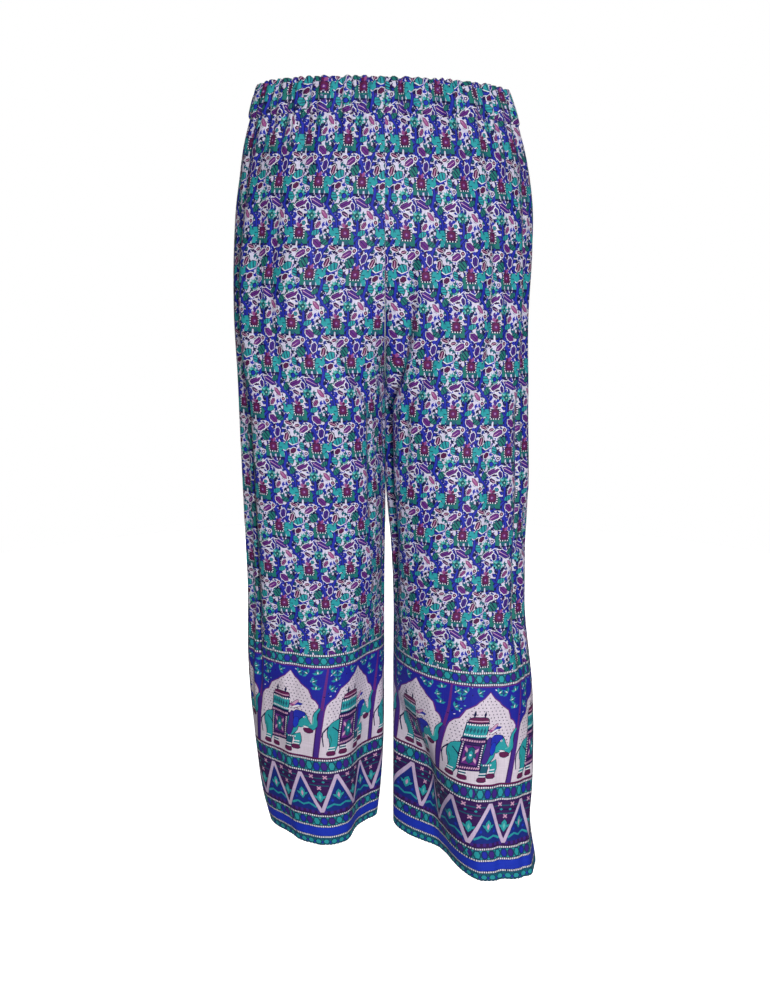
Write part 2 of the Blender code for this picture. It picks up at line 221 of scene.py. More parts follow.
# The gathers themselves, 19 to a panel, closest and deepest on the casing. Their ridges are broad and their
# valleys sharp, and all of them are uneven.
GATHERS_PER_PANEL = 19
GATHER_WANDER = ((17.0, 0.24, 0.4), (41.0, 0.10, 2.0))
GATHER_UNEVEN = ((23.0, 0.35, 0.0), (57.0, 0.20, 1.0))
GATHER_SHARPNESS = 1.7

# Faint creases all down the cloth, from wearing and folding: how fast each runs across and down, and its
# size.
CREASES = ((61.0, 3.0, 0.00022), (97.0, -5.0, 0.00018), (151.0, 7.0, 0.00012), (23.0, 11.0, 0.00050))

# How much of a row is held still by its middle seam and its side seam, and how far a seam draws the cloth in.
HELD_AT_INNER_SEAM = 0.10
HELD_AT_SIDE_SEAM = 0.06
SEAM_DRAW = 0.0009
SEAM_DRAW_REACH = 0.0022

# The front and back of a leg start their uneven waves at their own places.
OWN_START = {"front": 2.0, "back": 5.0}


def smooth_step(value):
    value = np.clip(value, 0.0, 1.0)
    return value * value * (3.0 - 2.0 * value)


def along(rows, names, column, drop):
    """A table's column at any drop, on a smooth curve through its rows."""
    table = np.array(rows, float)
    at = table[:, 0]
    value = table[:, names.index(column)]
    slope = np.gradient(value, at)
    drop = np.clip(drop, at[0], at[-1])
    row = np.clip(np.searchsorted(at, drop, side="right") - 1, 0, len(at) - 2)
    span = at[row + 1] - at[row]
    part = (drop - at[row]) / span
    rise = value[row + 1] - value[row]
    # Where two rows are equal the curve stays flat between them.
    first = np.where(rise == 0.0, 0.0, slope[row]) * span
    last = np.where(rise == 0.0, 0.0, slope[row + 1]) * span
    ease = part * part * (3.0 - 2.0 * part)
    bend = part * (1.0 - part) * (first * (1.0 - part) - last * part)
    return value[row] + rise * ease + bend


def power(value, square):
    return np.sign(value) * np.abs(value) ** (2.0 / square)


def half_row(leg, side, drop, samples):
    """One panel's row seen from above, from its middle seam to the side seam: x outward, y forward."""
    square = along(BODY, BODY_COLUMNS, "square", drop)
    depth = along(BODY, BODY_COLUMNS, side, drop)
    start = math.radians(float(along(BODY, BODY_COLUMNS, side + "_seam", drop)))
    inner = along(LEGS[leg], LEG_COLUMNS, "inner", drop)
    outer = along(LEGS[leg], LEG_COLUMNS, "outer", drop)
    angle = np.linspace(start, math.pi, samples)
    begin = power(math.cos(start), square)
    reach = (begin - power(np.cos(angle), square)) / (begin + 1.0)
    across = inner + (outer - inner) * reach
    forward = depth * power(np.abs(np.sin(angle)), square)
    return across, forward


def spread_evenly(across, forward, parts):
    """The same line with its points where the parts say, and its length."""
    steps = np.hypot(np.diff(across), np.diff(forward))
    walked = np.concatenate(([0.0], np.cumsum(steps)))
    wanted = np.asarray(parts) * walked[-1]
    return np.interp(wanted, walked, across), np.interp(wanted, walked, forward), walked[-1]


def sum_of_sines(at, sines):
    """The sum of some sines, each given by its rate, its size and its start."""
    total = np.zeros_like(at)
    for rate, size, start in sines:
        total = total + size * np.sin(rate * at + start)
    return total


def gather_wave(leg, side, across):
    """The gathers' wave across the top of a panel, between about -1 and 1."""
    own = across + SIDE_OF_LEG[leg] + OWN_START[side]
    turns = GATHERS_PER_PANEL * across + sum_of_sines(own, GATHER_WANDER)
    ridge = 1.0 - 2.0 * (0.5 - 0.5 * np.sin(2.0 * math.pi * turns)) ** GATHER_SHARPNESS
    return ridge * (1.0 + sum_of_sines(own, GATHER_UNEVEN))


def fold_height(leg, side, across, drop, length, rippled):
    """How far the folds lift one row's cloth, at each place across it."""
    height = np.zeros_like(across)
    for row in MAIN_FOLDS + FINE_FOLDS:
        fold = dict(zip(FOLD_COLUMNS, row))
        part = (drop - fold["upper"]) / (fold["lower"] - fold["upper"])
        if fold["side"] != side or fold["leg"] != leg or part <= 0.0 or part >= 1.0:
            continue
        fade = smooth_step(part / FOLD_FADE) * smooth_step((1.0 - part) / FOLD_FADE)
        centre = fold["across_up"] + (fold["across_low"] - fold["across_up"]) * part
        away = np.clip(np.abs(across - centre) * length / fold["half_width"], 0.0, 1.0)
        height += fold["height"] * fade * 0.5 * (1.0 + np.cos(math.pi * away))
    let_go = smooth_step((WAVE_END_DROP - drop) / (WAVE_END_DROP - CASING_HEIGHT))
    turns = WAVES_PER_PANEL * across + sum_of_sines(across, WAVE_WANDER)
    uneven = WAVE_UNEVEN_MIDDLE + sum_of_sines(across, WAVE_UNEVEN)
    height += WAVE_HEIGHT * let_go * uneven * np.sin(2.0 * math.pi * turns)
    if rippled:
        let_go = smooth_step((RIPPLE_END_DROP - drop) / (RIPPLE_END_DROP - CASING_HEIGHT))
        height += RIPPLE_HEIGHT * let_go * gather_wave(leg, side, across)
    own_start = SIDE_OF_LEG[leg] + OWN_START[side]
    for rate_across, rate_down, size in CREASES:
        height += size * np.sin(rate_across * (across + own_start) + rate_down * (drop + 0.3 * own_start))
    # Cloth at a seam stays where its neighbour is, and the seam draws it in.
    free = smooth_step(across / HELD_AT_INNER_SEAM) * smooth_step((1.0 - across) / HELD_AT_SIDE_SEAM)
    from_seam = np.minimum(across, 1.0 - across) * length
    return height * free - SEAM_DRAW * np.exp(-((from_seam / SEAM_DRAW_REACH) ** 2))


def leg_row(leg, drop, parts, rippled=True):
    """One whole row of a leg, round the front to the side seam and back inside, and each half's length."""
    halves = []
    lengths = []
    for side in ("front", "back"):
        across, forward = half_row(leg, side, drop, RING_SAMPLES)
        across, forward, length = spread_evenly(across, forward, parts)
        way_x = np.gradient(across)
        way_y = np.gradient(forward)
        size = np.hypot(way_x, way_y)
        lift = fold_height(leg, side, np.asarray(parts), drop, length, rippled)
        across = across - way_y / size * lift
        forward = forward + way_x / size * lift
        lengths.append(np.sum(np.hypot(np.diff(across), np.diff(forward))))
        halves.append((across, forward if side == "front" else -forward))
    across = np.concatenate((halves[0][0], halves[1][0][-2::-1]))
    forward = np.concatenate((halves[0][1], halves[1][1][-2::-1]))
    inner = along(LEGS[leg], LEG_COLUMNS, "inner", drop)
    outer = along(LEGS[leg], LEG_COLUMNS, "outer", drop)
    across = np.maximum(across, SEAM_GAP / 2.0 if drop < PRESSED_FROM else float(inner))
    middle = (inner + outer) / 2.0
    forward = forward + along(LEGS[leg], LEG_COLUMNS, "forward", drop)
    forward = forward + along(LEGS[leg], LEG_COLUMNS, "turn", drop) * (across - middle)
    x = SIDE_OF_LEG[leg] * across
    y = -forward
    unsettled = 1.0 - smooth_step(drop / CROTCH_DROP)
    z = CASING_HEIGHT / 2.0 - drop - WAIST_DIP + TILT_TO_LEFT * x + TILT_TO_FRONT * unsettled * y
    return np.stack((x, y, z), axis=1), lengths


# The form is worked out on a fine net once, with closer rows through the gathers, and every point of a
# panel's cloth then finds its place on it.
CLOSE_ROWS_END = 0.16
CLOSE_ROWS = 62
WIDE_ROWS = 202
NET_COLUMNS = 229
NET_DROPS = np.concatenate((
    np.linspace(CASING_HEIGHT, CLOSE_ROWS_END, CLOSE_ROWS)[:-1],
    np.linspace(CLOSE_ROWS_END, HEM_DROP, WIDE_ROWS),
))
NET_PARTS = np.linspace(0.0, 1.0, NET_COLUMNS)


def leg_net(leg):
    """Points, outward directions and row lengths of one leg, for front and back."""
    rows = [leg_row(leg, drop, NET_PARTS) for drop in NET_DROPS]
    points = np.array([row[0] for row in rows])
    down = np.gradient(points, axis=0)
    round_it = np.gradient(points, axis=1)
    normal = np.cross(down, round_it) * SIDE_OF_LEG[leg]
    normal = normal / np.linalg.norm(normal, axis=2, keepdims=True)
    closed = NET_DROPS >= CROTCH_DROP
    shared = normal[closed, 0] + normal[closed, -1]
    shared = shared / np.linalg.norm(shared, axis=1, keepdims=True)
    normal[closed, 0] = shared
    normal[closed, -1] = shared
    middle = len(NET_PARTS) - 1
    lengths = np.array([row[1] for row in rows])
    # Both halves are kept from the middle seam to the side seam.
    return {
        "front": (points[:, : middle + 1], normal[:, : middle + 1], lengths[:, 0]),
        "back": (points[:, middle:][:, ::-1], normal[:, middle:][:, ::-1], lengths[:, 1]),
    }


NETS = {leg: leg_net(leg) for leg in ("right", "left")}


def on_net(points, normals, row, column):
    """Where some places of a fine net are, between its rows and columns, and their outward directions."""
    row = np.clip(row, 0.0, len(points) - 1.001)
    column = np.clip(column, 0.0, points.shape[1] - 1.001)
    low_row = row.astype(int)
    low_column = column.astype(int)
    up = (row - low_row)[:, None]
    over = (column - low_column)[:, None]
    found = []
    for grid in (points, normals):
        near = grid[low_row, low_column] * (1.0 - over) + grid[low_row, low_column + 1] * over
        far = grid[low_row + 1, low_column] * (1.0 - over) + grid[low_row + 1, low_column + 1] * over
        found.append(near * (1.0 - up) + far * up)
    found[1] = found[1] / np.linalg.norm(found[1], axis=1, keepdims=True)
    return found


# ----------------------------------------------------------------------------------------------------------
# The print. Rayon is screen printed in flat inks before it is cut, with a deep border along the edge that
# becomes the hem, and a field of vines, leaves and small elephants that repeats above it. Everything is drawn
# here in millimetres, x to the right on the face of the cloth and y up from the hem's edge.

INKS = {
    "ground": "#DCD8EE", "white": "#F2EFF8", "arch": "#E4D8E6", "lilac": "#D6C0E0", "blush": "#D9A6C8",
    "teal": "#2CA4AC", "pale_teal": "#6CC7C0", "deep_teal": "#1B6076", "green": "#1F7A72",
    "blue": "#2632B4", "royal": "#1E3AC4", "indigo": "#2228A4", "ink_blue": "#1A3088", "navy": "#12164C",
    "violet": "#46288C", "purple": "#6A2A86", "plum": "#3C1B5C", "maroon": "#641E50", "rose": "#A05090",
    "wrong_side": "#8E90B8",
}
INK_NAMES = tuple(INKS)


def oval(x, y, long, wide=None, lean=0.0, points=8, pointed=1.0):
    """A closed shape round (x, y), its long axis leaning by degrees; pointed above 1 makes it leaf shaped."""
    angle = np.linspace(0.0, 2.0 * math.pi, points, endpoint=False)
    reach = np.cos(angle) * long / 2.0
    side = np.sign(np.sin(angle)) * np.abs(np.sin(angle)) ** pointed * (wide or long) / 2.0
    turn = math.radians(lean)
    return np.stack((x + reach * math.cos(turn) - side * math.sin(turn),
                     y + reach * math.sin(turn) + side * math.cos(turn)), axis=1)


def leaf(x, y, long, wide, lean, points=6):
    """A pointed leaf that grows from (x, y) along its lean."""
    turn = math.radians(lean)
    middle = (x + 0.5 * long * math.cos(turn), y + 0.5 * long * math.sin(turn))
    return oval(*middle, long, wide, lean, points, 1.5)


def stroke(line, wide, narrow=None):
    """A drawn line with a width, which may taper to a narrower end."""
    line = np.asarray(line, float)
    way = np.gradient(line, axis=0)
    way = way / np.linalg.norm(way, axis=1, keepdims=True)
    out = np.stack((-way[:, 1], way[:, 0]), axis=1)
    widths = np.linspace(wide, wide if narrow is None else narrow, len(line))[:, None] / 2.0
    return np.concatenate((line + out * widths, (line - out * widths)[::-1]))


def curve(points, parts=3):
    """A smooth open line through a few points."""
    line = np.asarray(points, float)
    line = np.vstack((2 * line[0] - line[1], line, 2 * line[-1] - line[-2]))
    made = []
    for before, here, after, far in zip(line, line[1:], line[2:], line[3:]):
        for part in np.arange(parts) / parts:
            bend = (2 * before - 5 * here + 4 * after - far) * part**2
            made.append(0.5 * (2 * here + (after - before) * part + bend
                               + (3 * here - before - 3 * after + far) * part**3))
    made.append(line[-2])
    return np.array(made)


def rounded(corners, times=1):
    """A closed shape through corners, rounded by cutting them off."""
    line = np.asarray(corners, float)
    for _ in range(times):
        after = np.roll(line, -1, axis=0)
        line = np.stack((0.78 * line + 0.22 * after, 0.22 * line + 0.78 * after), axis=1).reshape(-1, 2)
    return line


def box(left, low, right, high):
    return np.array(((left, low), (right, low), (right, high), (left, high)), float)


def area_of(shape):
    """The area inside a closed shape, above zero where it runs anticlockwise."""
    after = np.roll(shape, -1, axis=0)
    return 0.5 * np.sum(shape[:, 0] * after[:, 1] - shape[:, 1] * after[:, 0])


def grown(shape, by):
    """The shape moved out all round by the width of a line."""
    way = np.roll(shape, -1, axis=0) - np.roll(shape, 1, axis=0)
    way = way / np.maximum(np.linalg.norm(way, axis=1, keepdims=True), 1e-9)
    return shape + np.stack((way[:, 1], -way[:, 0]), axis=1) * by * math.copysign(1.0, area_of(shape))


def outlined(parts, line=0.6, ink="navy"):
    """The parts of one figure, over one dark line round them all."""
    return [(grown(shape, line), ink) for shape, _ in parts] + list(parts)


def placed(drawn, x=0.0, y=0.0, lean=0.0, flip=False):
    turn = math.radians(lean)
    spin = np.array(((math.cos(turn), math.sin(turn)), (-math.sin(turn), math.cos(turn))))
    way = np.array((-1.0 if flip else 1.0, 1.0))
    return [((shape * way) @ spin + (x, y), ink) for shape, ink in drawn]


def dots(start, end, y, pitch, size, ink="white"):
    """A row of printed dots, squarish as a screen leaves them."""
    return [(box(x - size / 2, y - size * 0.6, x + size / 2, y + size * 0.6), ink)
            for x in np.arange(start, end, pitch)]


def tuft(x, y, lean, reach, spread=62.0):
    """Three small leaves from one point, as one shape."""
    turns = np.radians(lean + np.array((-115.0, -spread, -spread / 2, 0.0, spread / 2, spread, 115.0)))
    reaches = reach * np.array((0.30, 0.86, 0.46, 1.0, 0.46, 0.86, 0.30))
    return np.stack((x + reaches * np.cos(turns), y + reaches * np.sin(turns)), axis=1)


def small_elephant():
    """Facing right, its feet on y = 0 and about 32 wide."""
    stands = ((-9.0, -1, "green"), (-3.6, 1, "deep_teal"), (4.0, 0, "deep_teal"), (8.6, 2, "teal"))
    legs = [(stroke(((x, 8), (x + lean, 0.2)), 5.8, 4.4), ink) for x, lean, ink in stands]
    trunk = stroke(curve(((9.6, 15), (13.4, 11), (15.9, 13.6), (15.2, 18), (17.2, 20.6)), 1), 5.2, 2.0)
    head = oval(9.2, 14.8, 10, 10, 0, 6)
    body = [(oval(-1, 10.8, 24, 12.0, 2, 8), "green"), (head, "teal"), (trunk, "teal")]
    drawn = [(grown(shape, 0.75), "navy") for shape, _ in body] + legs + body
    drawn += [(oval(5.6, 11.0, 8.5, 8, 70, 6), "teal")]
    drawn += [(stroke(((7, 18.4), (4.6, 13.2), (9.8, 13.0)), 0.9), "navy")]
    drawn += [(oval(11.9, 16.6, 1.5, 1.5, 0, 4), "navy")]
    drawn += [(box(x - 2.3, -0.9, x + 2.3, 1.3), "navy") for x in (-10.0, -2.8, 4.1, 9.9)]
    drawn += [(stroke(((11, 10.2), (13.2, 8.6), (15.2, 10)), 1.1, 0.6), "white")]
    saddle = rounded(((-6.6, 18.8), (3.0, 18.8), (3.2, 9.0), (-6.8, 8.8)))
    drawn += [(box(-8.6, 6.6, 5.0, 19.4), "navy"), (saddle, "maroon")]
    drawn += [(oval(-1.8, 13.6, 5.0, 4.6, 20, 5), "purple"), (oval(-1.8, 13.6, 2.0, 1.8, 20, 4), "blush")]
    edge = [(x, y) for y in (9.6, 12.4, 15.2, 18.0) for x in (-7.7, 4.1)]
    edge += [(x, 7.5) for x in (-6.6, -3.4, -0.2, 3.0)]
    drawn += [(oval(x, y, 1.9, 1.9, 45, 4), "white") for x, y in edge]
    return drawn + [(leaf(-1.8, 18.8, 7, 4.6, 62, 4), "rose"), (leaf(-2.2, 18.8, 6, 4, 118, 4), "maroon")]


def daisy(petals, reach, heart, core):
    """A flower of narrow petals, dark between them."""
    drawn = [(oval(0, 0, reach * 1.5, None, 0, 7), "navy")]
    for number in range(petals):
        lean = number * 360.0 / petals + 7.0
        drawn.append((leaf(0, 0, reach * (1.0 if number % 2 else 1.12), reach * 4.4 / petals, lean, 4),
                      ("teal", "pale_teal", "green")[number % 3]))
    return drawn + [(oval(0.6, -0.8, reach * 0.95, None, 0, 6), "navy"),
                    (oval(0.7, -1.0, reach * 0.66, None, 0, 5), heart),
                    (oval(0.7, -1.0, reach * 0.24, None, 0, 4), core)]


def blossom(reach, ink, heart):
    """A small round flower with a pale edge."""
    return [(oval(0, 0, reach * 2.0 + 1.2, None, 0, 6), "white"),
            (oval(0, 0, reach * 1.8, None, 0, 6), "navy"),
            (oval(0, 0, reach * 1.4, None, 30, 5), ink), (oval(0, 0, reach * 0.7, None, 0, 4), heart)]


# The field's repeat, wide and high. Its first row starts under the border.
FIELD_SIZE = (55.25, 101.25)
FIELD_ORIGIN = (0.0, 218.0)
BORDER_TOP = 276.0
# Leaves: x, y, lean, long, wide, ink.
FIELD_LEAVES = (
    (5.0, 90.5, -50, 12.0, 6.0, "rose"),
    (29.5, 0.5, 25, 18.0, 6.6, "purple"),
    (50.5, 2.0, -28, 19.0, 8.4, "violet"),
    (52.6, 58.5, -42, 12.5, 8.6, "purple"),
    (35.5, 47.0, 33, 14.5, 7.4, "purple"),
    (1.5, 42.5, 75, 12.0, 7.0, "violet"),
    (12.8, 37.5, 72, 11.0, 6.2, "maroon"),
    (20.0, 20.5, 40, 9.0, 6.6, "maroon"),
    (16.5, 54.0, 160, 10.0, 4.8, "maroon"),
    (39.0, 99.0, 95, 9.0, 5.0, "violet"),
    (30.0, 91.0, 150, 9.0, 5.0, "plum"),
    (53.0, 79.0, 55, 9.5, 5.4, "rose"),
    (27.0, 51.0, 15, 7.0, 4.4, "maroon"),
)
TEAL_LEAVES = (
    (41.0, 37.0, 62, 11.0, 8.6, "green"),
    (21.0, 32.5, 38, 12.0, 8.0, "teal"),
    (50.0, 70.5, 25, 9.0, 5.6, "teal"),
    (6.0, 60.0, -20, 9.0, 5.4, "green"),
    (16.0, 9.0, 120, 9.5, 6.0, "teal"),
    (17.5, 97.5, 60, 10.0, 6.0, "green"),
    (37.0, 62.0, 75, 8.0, 5.0, "green"),
    (31.5, 26.5, 100, 8.5, 5.4, "teal"),
    (3.0, 5.0, 40, 8.0, 5.0, "green"),
)
# Daisies: x, y, petals, reach, heart, core.
FIELD_DAISIES = ((27.5, 10.5, 12, 7.6, "royal", "ink_blue"), (44.0, 90.0, 11, 6.8, "green", "white"))
# Blossoms: x, y, reach, ink, heart.
FIELD_BLOSSOMS = (
    (35.5, 80.5, 3.2, "teal", "violet"),
    (8.5, 27.5, 2.8, "rose", "white"),
    (43.5, 51.0, 2.8, "maroon", "blush"),
    (12.0, 82.5, 2.8, "maroon", "blush"),
    (36.0, 17.0, 2.6, "purple", "white"),
)
FIELD_VINES = (
    ((7.0, 101.25), (13.0, 93.0), (19.5, 86.0), (20.5, 77.0), (15.0, 65.0),
     (6.5, 51.0), (4.0, 39.0), (9.5, 26.0), (11.0, 14.0), (7.0, 0.0)),
    ((40.5, 101.25), (41.0, 92.0), (45.5, 82.0), (45.0, 69.0), (44.5, 57.0), (47.5, 46.0),
     (50.5, 38.0), (47.0, 26.0), (38.0, 15.0), (37.5, 7.0), (40.5, 0.0)),
    ((45.0, 66.0), (38.0, 59.0), (30.0, 54.0)),
    ((9.0, 28.0), (17.0, 25.0), (24.0, 27.5)),
)
VINE_LEAF_PITCH = 6.6
# Where the ground shows pale beside the vines.
PALE_STREAKS = (
    ((-1.0, 99.0), (5.5, 90.0), (13.0, 81.0)),
    ((3.0, 28.0), (5.0, 16.0), (2.5, 6.0)),
    ((41.0, 78.0), (41.0, 66.0)),
    ((46.0, 41.0), (45.5, 33.0), (41.0, 23.0)),
)
WHITE_LINES = (
    ((14.0, 31.0), (19.0, 27.0), (27.0, 30.0), (28.0, 37.0)),
    ((30.0, 42.0), (34.0, 41.5), (43.0, 47.0)),
    ((20.0, 101.0), (28.0, 95.0), (38.0, 97.0)),
    ((33.0, 3.5), (40.0, 9.0), (46.0, 7.0)),
    ((14.0, 59.0), (22.0, 56.0), (30.0, 58.5)),
)
# Elephants: x, y of their feet, and whether they face left.
ELEPHANTS_AT = ((28.8, 56.5, True), (51.5, 11.0, False))
TUFT_PITCH = 5.4
TUFT_REACH = 4.9
FIELD_SEED = 7
TUFT_INKS = ("navy", "ink_blue", "blue", "navy", "violet", "deep_teal", "plum")


def near_motif(x, y):
    """Whether a place of the repeat is covered by an elephant or a flower."""
    wide, high = FIELD_SIZE
    around = [(at_x, at_y + 10.0, 15.0, 10.0) for at_x, at_y, _ in ELEPHANTS_AT]
    around += [(row[0], row[1], row[3] - 2.0, row[3] - 2.0) for row in FIELD_DAISIES]
    around += [(row[0], row[1], 3.2, 2.6) for row in FIELD_LEAVES + TEAL_LEAVES]
    for at_x, at_y, half_wide, half_high in around:
        off_x = (x - at_x + wide / 2) % wide - wide / 2
        off_y = (y - at_y + high / 2) % high - high / 2
        if (off_x / half_wide) ** 2 + (off_y / half_high) ** 2 < 1.0:
            return True
    return False


def field_repeat():
    """One repeat of the field, sprigs first and elephants last."""
    wide, high = FIELD_SIZE
    drawn = []
    draw = np.random.default_rng(FIELD_SEED)
    across = round(wide / TUFT_PITCH)
    up = round(high / TUFT_PITCH)
    for number in range(across * up):
        x = (number % across + 0.5 * (number // across % 2) + draw.uniform(-0.2, 0.2)) * wide / across
        y = (number // across + draw.uniform(-0.2, 0.2)) * high / up
        lean = draw.uniform(0, 360)
        ink = TUFT_INKS[int(draw.integers(7))]
        if not near_motif(x, y):
            drawn.append((tuft(x, y, lean, TUFT_REACH), ink))
    for streak in PALE_STREAKS:
        drawn.append((stroke(streak, 5.0, 3.4), "ground"))
    for line in FIELD_VINES:
        line = np.array(line)
        walked = np.concatenate(([0.0], np.cumsum(np.hypot(*np.diff(line, axis=0).T))))
        for at in np.arange(1.0, walked[-1], VINE_LEAF_PITCH):
            x, y = (np.interp(at, walked, line[:, axis]) for axis in (0, 1))
            for lean in (38, 142):
                lean = lean + draw.uniform(-20, 20)
                if draw.uniform() < 0.45:
                    drawn.append((leaf(x, y, draw.uniform(7.6, 9.6), 5.0, lean, 4), "navy"))
                    drawn.append((leaf(x, y, draw.uniform(6.5, 7.8), 3.4, lean, 4), "blue"))
                else:
                    shape = leaf(x, y, draw.uniform(7.0, 8.8), 4.4, lean, 4)
                    drawn.append((shape, ("blue", "navy", "indigo")[int(draw.integers(3))]))
        drawn += [(stroke(line, 4.1), "navy"), (stroke(line, 2.7), "blue")]
    for number, (x, y, lean, long, broad, ink) in enumerate(FIELD_LEAVES):
        long, broad = long * 1.08, broad * 1.08
        turn = math.radians(lean)
        vein = [(x + part * long * math.cos(turn), y + part * long * math.sin(turn))
                for part in (-0.36, 0.34)]
        drawn += [(oval(x, y, long + 1.6, broad + 1.6, lean, 6, 1.4), "white"),
                  (oval(x, y, long, broad, lean, 6, 1.4), "navy"),
                  (oval(x, y, long * 0.94, broad - 1.4, lean, 6, 1.4), ink),
                  (stroke(vein, 0.9, 0.5), "navy" if number % 2 else "blush")]
    for x, y, lean, long, broad, ink in TEAL_LEAVES:
        long, broad = long * 1.15, broad * 1.15
        drawn += [(oval(x, y, long + 1.4, broad + 1.6, lean, 6, 1.2), "navy"),
                  (oval(x, y, long, broad, lean, 6, 1.2), ink)]
        turn = math.radians(lean)
        for part in (-0.16, 0.16):
            mid_x, mid_y = (x + part * long * math.cos(turn), y + part * long * math.sin(turn))
            way_x, way_y = (0.40 * broad * math.cos(turn + 1.1), 0.40 * broad * math.sin(turn + 1.1))
            vein = ((mid_x - way_x, mid_y - way_y), (mid_x + way_x, mid_y + way_y))
            drawn += [(stroke(vein, 0.9), "navy")]
    for line in WHITE_LINES:
        drawn += [(stroke(line, 1.1, 0.7), "white")]
    for x, y, petals, reach, heart, core in FIELD_DAISIES:
        drawn += placed(daisy(petals, reach, heart, core), x, y)
    for x, y, reach, ink, heart in FIELD_BLOSSOMS:
        drawn += placed(blossom(reach, ink, heart), x, y)
    for x, y, flip in ELEPHANTS_AT:
        drawn += placed(small_elephant(), x, y, flip=flip)
    return drawn


FIELD_REPEAT = field_repeat()


def field():
    """All shapes of the field that reach into one repeat."""
    drawn = []
    for shape, ink in FIELD_REPEAT:
        for column in (-1, 0, 1):
            for row in (-1, 0, 1):
                moved = shape + (column * FIELD_SIZE[0], row * FIELD_SIZE[1])
                if np.all(moved.max(axis=0) > 0.0) and np.all(moved.min(axis=0) < FIELD_SIZE):
                    drawn.append((moved, ink))
    return drawn


# The border's heights above the hem's edge.
CHAIN_BANDS = ((27.0, 46.0), (108.0, 129.0), (258.0, 276.0))
ARCH_PITCH = 97.0
DOT_PITCH = ARCH_PITCH / 34.0
DOT_SIZE = 1.8
ARCH_LOW = 130.0
ARCH_HIGH = 258.0
ARCH_LEAN = 0.19
ARCH_SEED = 11
PILLAR = 6.4
ZIGZAG_LOW = 50.0
ZIGZAG_HIGH = 106.0
ZIGZAG_LINE = 5.0
# Half of the arch's edge, from a pillar's foot up to the point: across from the middle, and up.
ARCH_EDGE = (
    (44.2, 131.5), (44.2, 199.0), (43.0, 206.0), (38.5, 212.0), (33.0, 215.0), (31.5, 219.0),
    (27.5, 226.5), (20.5, 231.5), (16.0, 234.0), (13.0, 237.5), (6.5, 242.0), (0.0, 250.0),
)


def chain_band(left, right, low, high):
    """A narrow band of lozenges between two rows of dots."""
    drawn = [(box(left, low, right, high), "navy"), (box(left, low + 3.2, right, high - 3.2), "deep_teal")]
    pitch = ARCH_PITCH / 10.0
    for number in range(math.floor(left / pitch), math.ceil(right / pitch) + 1):
        x = number * pitch
        middle = (low + high) / 2
        drawn += [(oval(x, middle, pitch * 0.98, high - low - 6.6, 0, 6, 1.2), "navy"),
                  (oval(x, middle, pitch * 0.8, high - low - 8.4, 0, 6, 1.2),
                   ("violet", "teal", "blue")[number % 3])]
        drawn += [(oval(x + pitch / 2, y, 3.4, 2.4, 0, 4), "teal") for y in (low + 4.6, high - 4.6)]
    for y in (low + 1.6, high - 1.6):
        drawn += dots(left, right, y, DOT_PITCH, DOT_SIZE)
    return drawn


def hem_bands(left, right):
    """The lowest band, and the plain blue one over it."""
    drawn = [(box(left, 0.0, right, 14.5), "navy"), (box(left, 1.2, right, 11.2), "deep_teal")]
    pitch = ARCH_PITCH / 9.0
    for number in range(math.floor(left / pitch), math.ceil(right / pitch) + 1):
        x = number * pitch
        drawn += [(oval(x, 5.8, pitch * 0.9, 8.6, 0, 6, 1.2), "navy"),
                  (oval(x, 5.8, pitch * 0.72, 6.8, 0, 6, 1.2), "teal"),
                  (oval(x + pitch / 2, 5.0, 3.0, 4.6, 0, 4), "blue")]
    return drawn + dots(left, right, 12.9, DOT_PITCH, DOT_SIZE) + [(box(left, 14.5, right, 27.0), "royal")]


def sprout(x, y, heart):
    """The drop with two side leaves that stands in each corner of the zigzag."""
    parts = [(leaf(x, y, 17, 8.5, 90, 6), "teal"), (leaf(x - 1, y + 5, 9, 3.8, 142, 4), "teal"),
             (leaf(x + 1, y + 5, 9, 3.8, 38, 4), "teal")]
    return outlined(parts, 0.8) + [(leaf(x, y + 3.5, 9, 3.4, 90, 4), heart)]


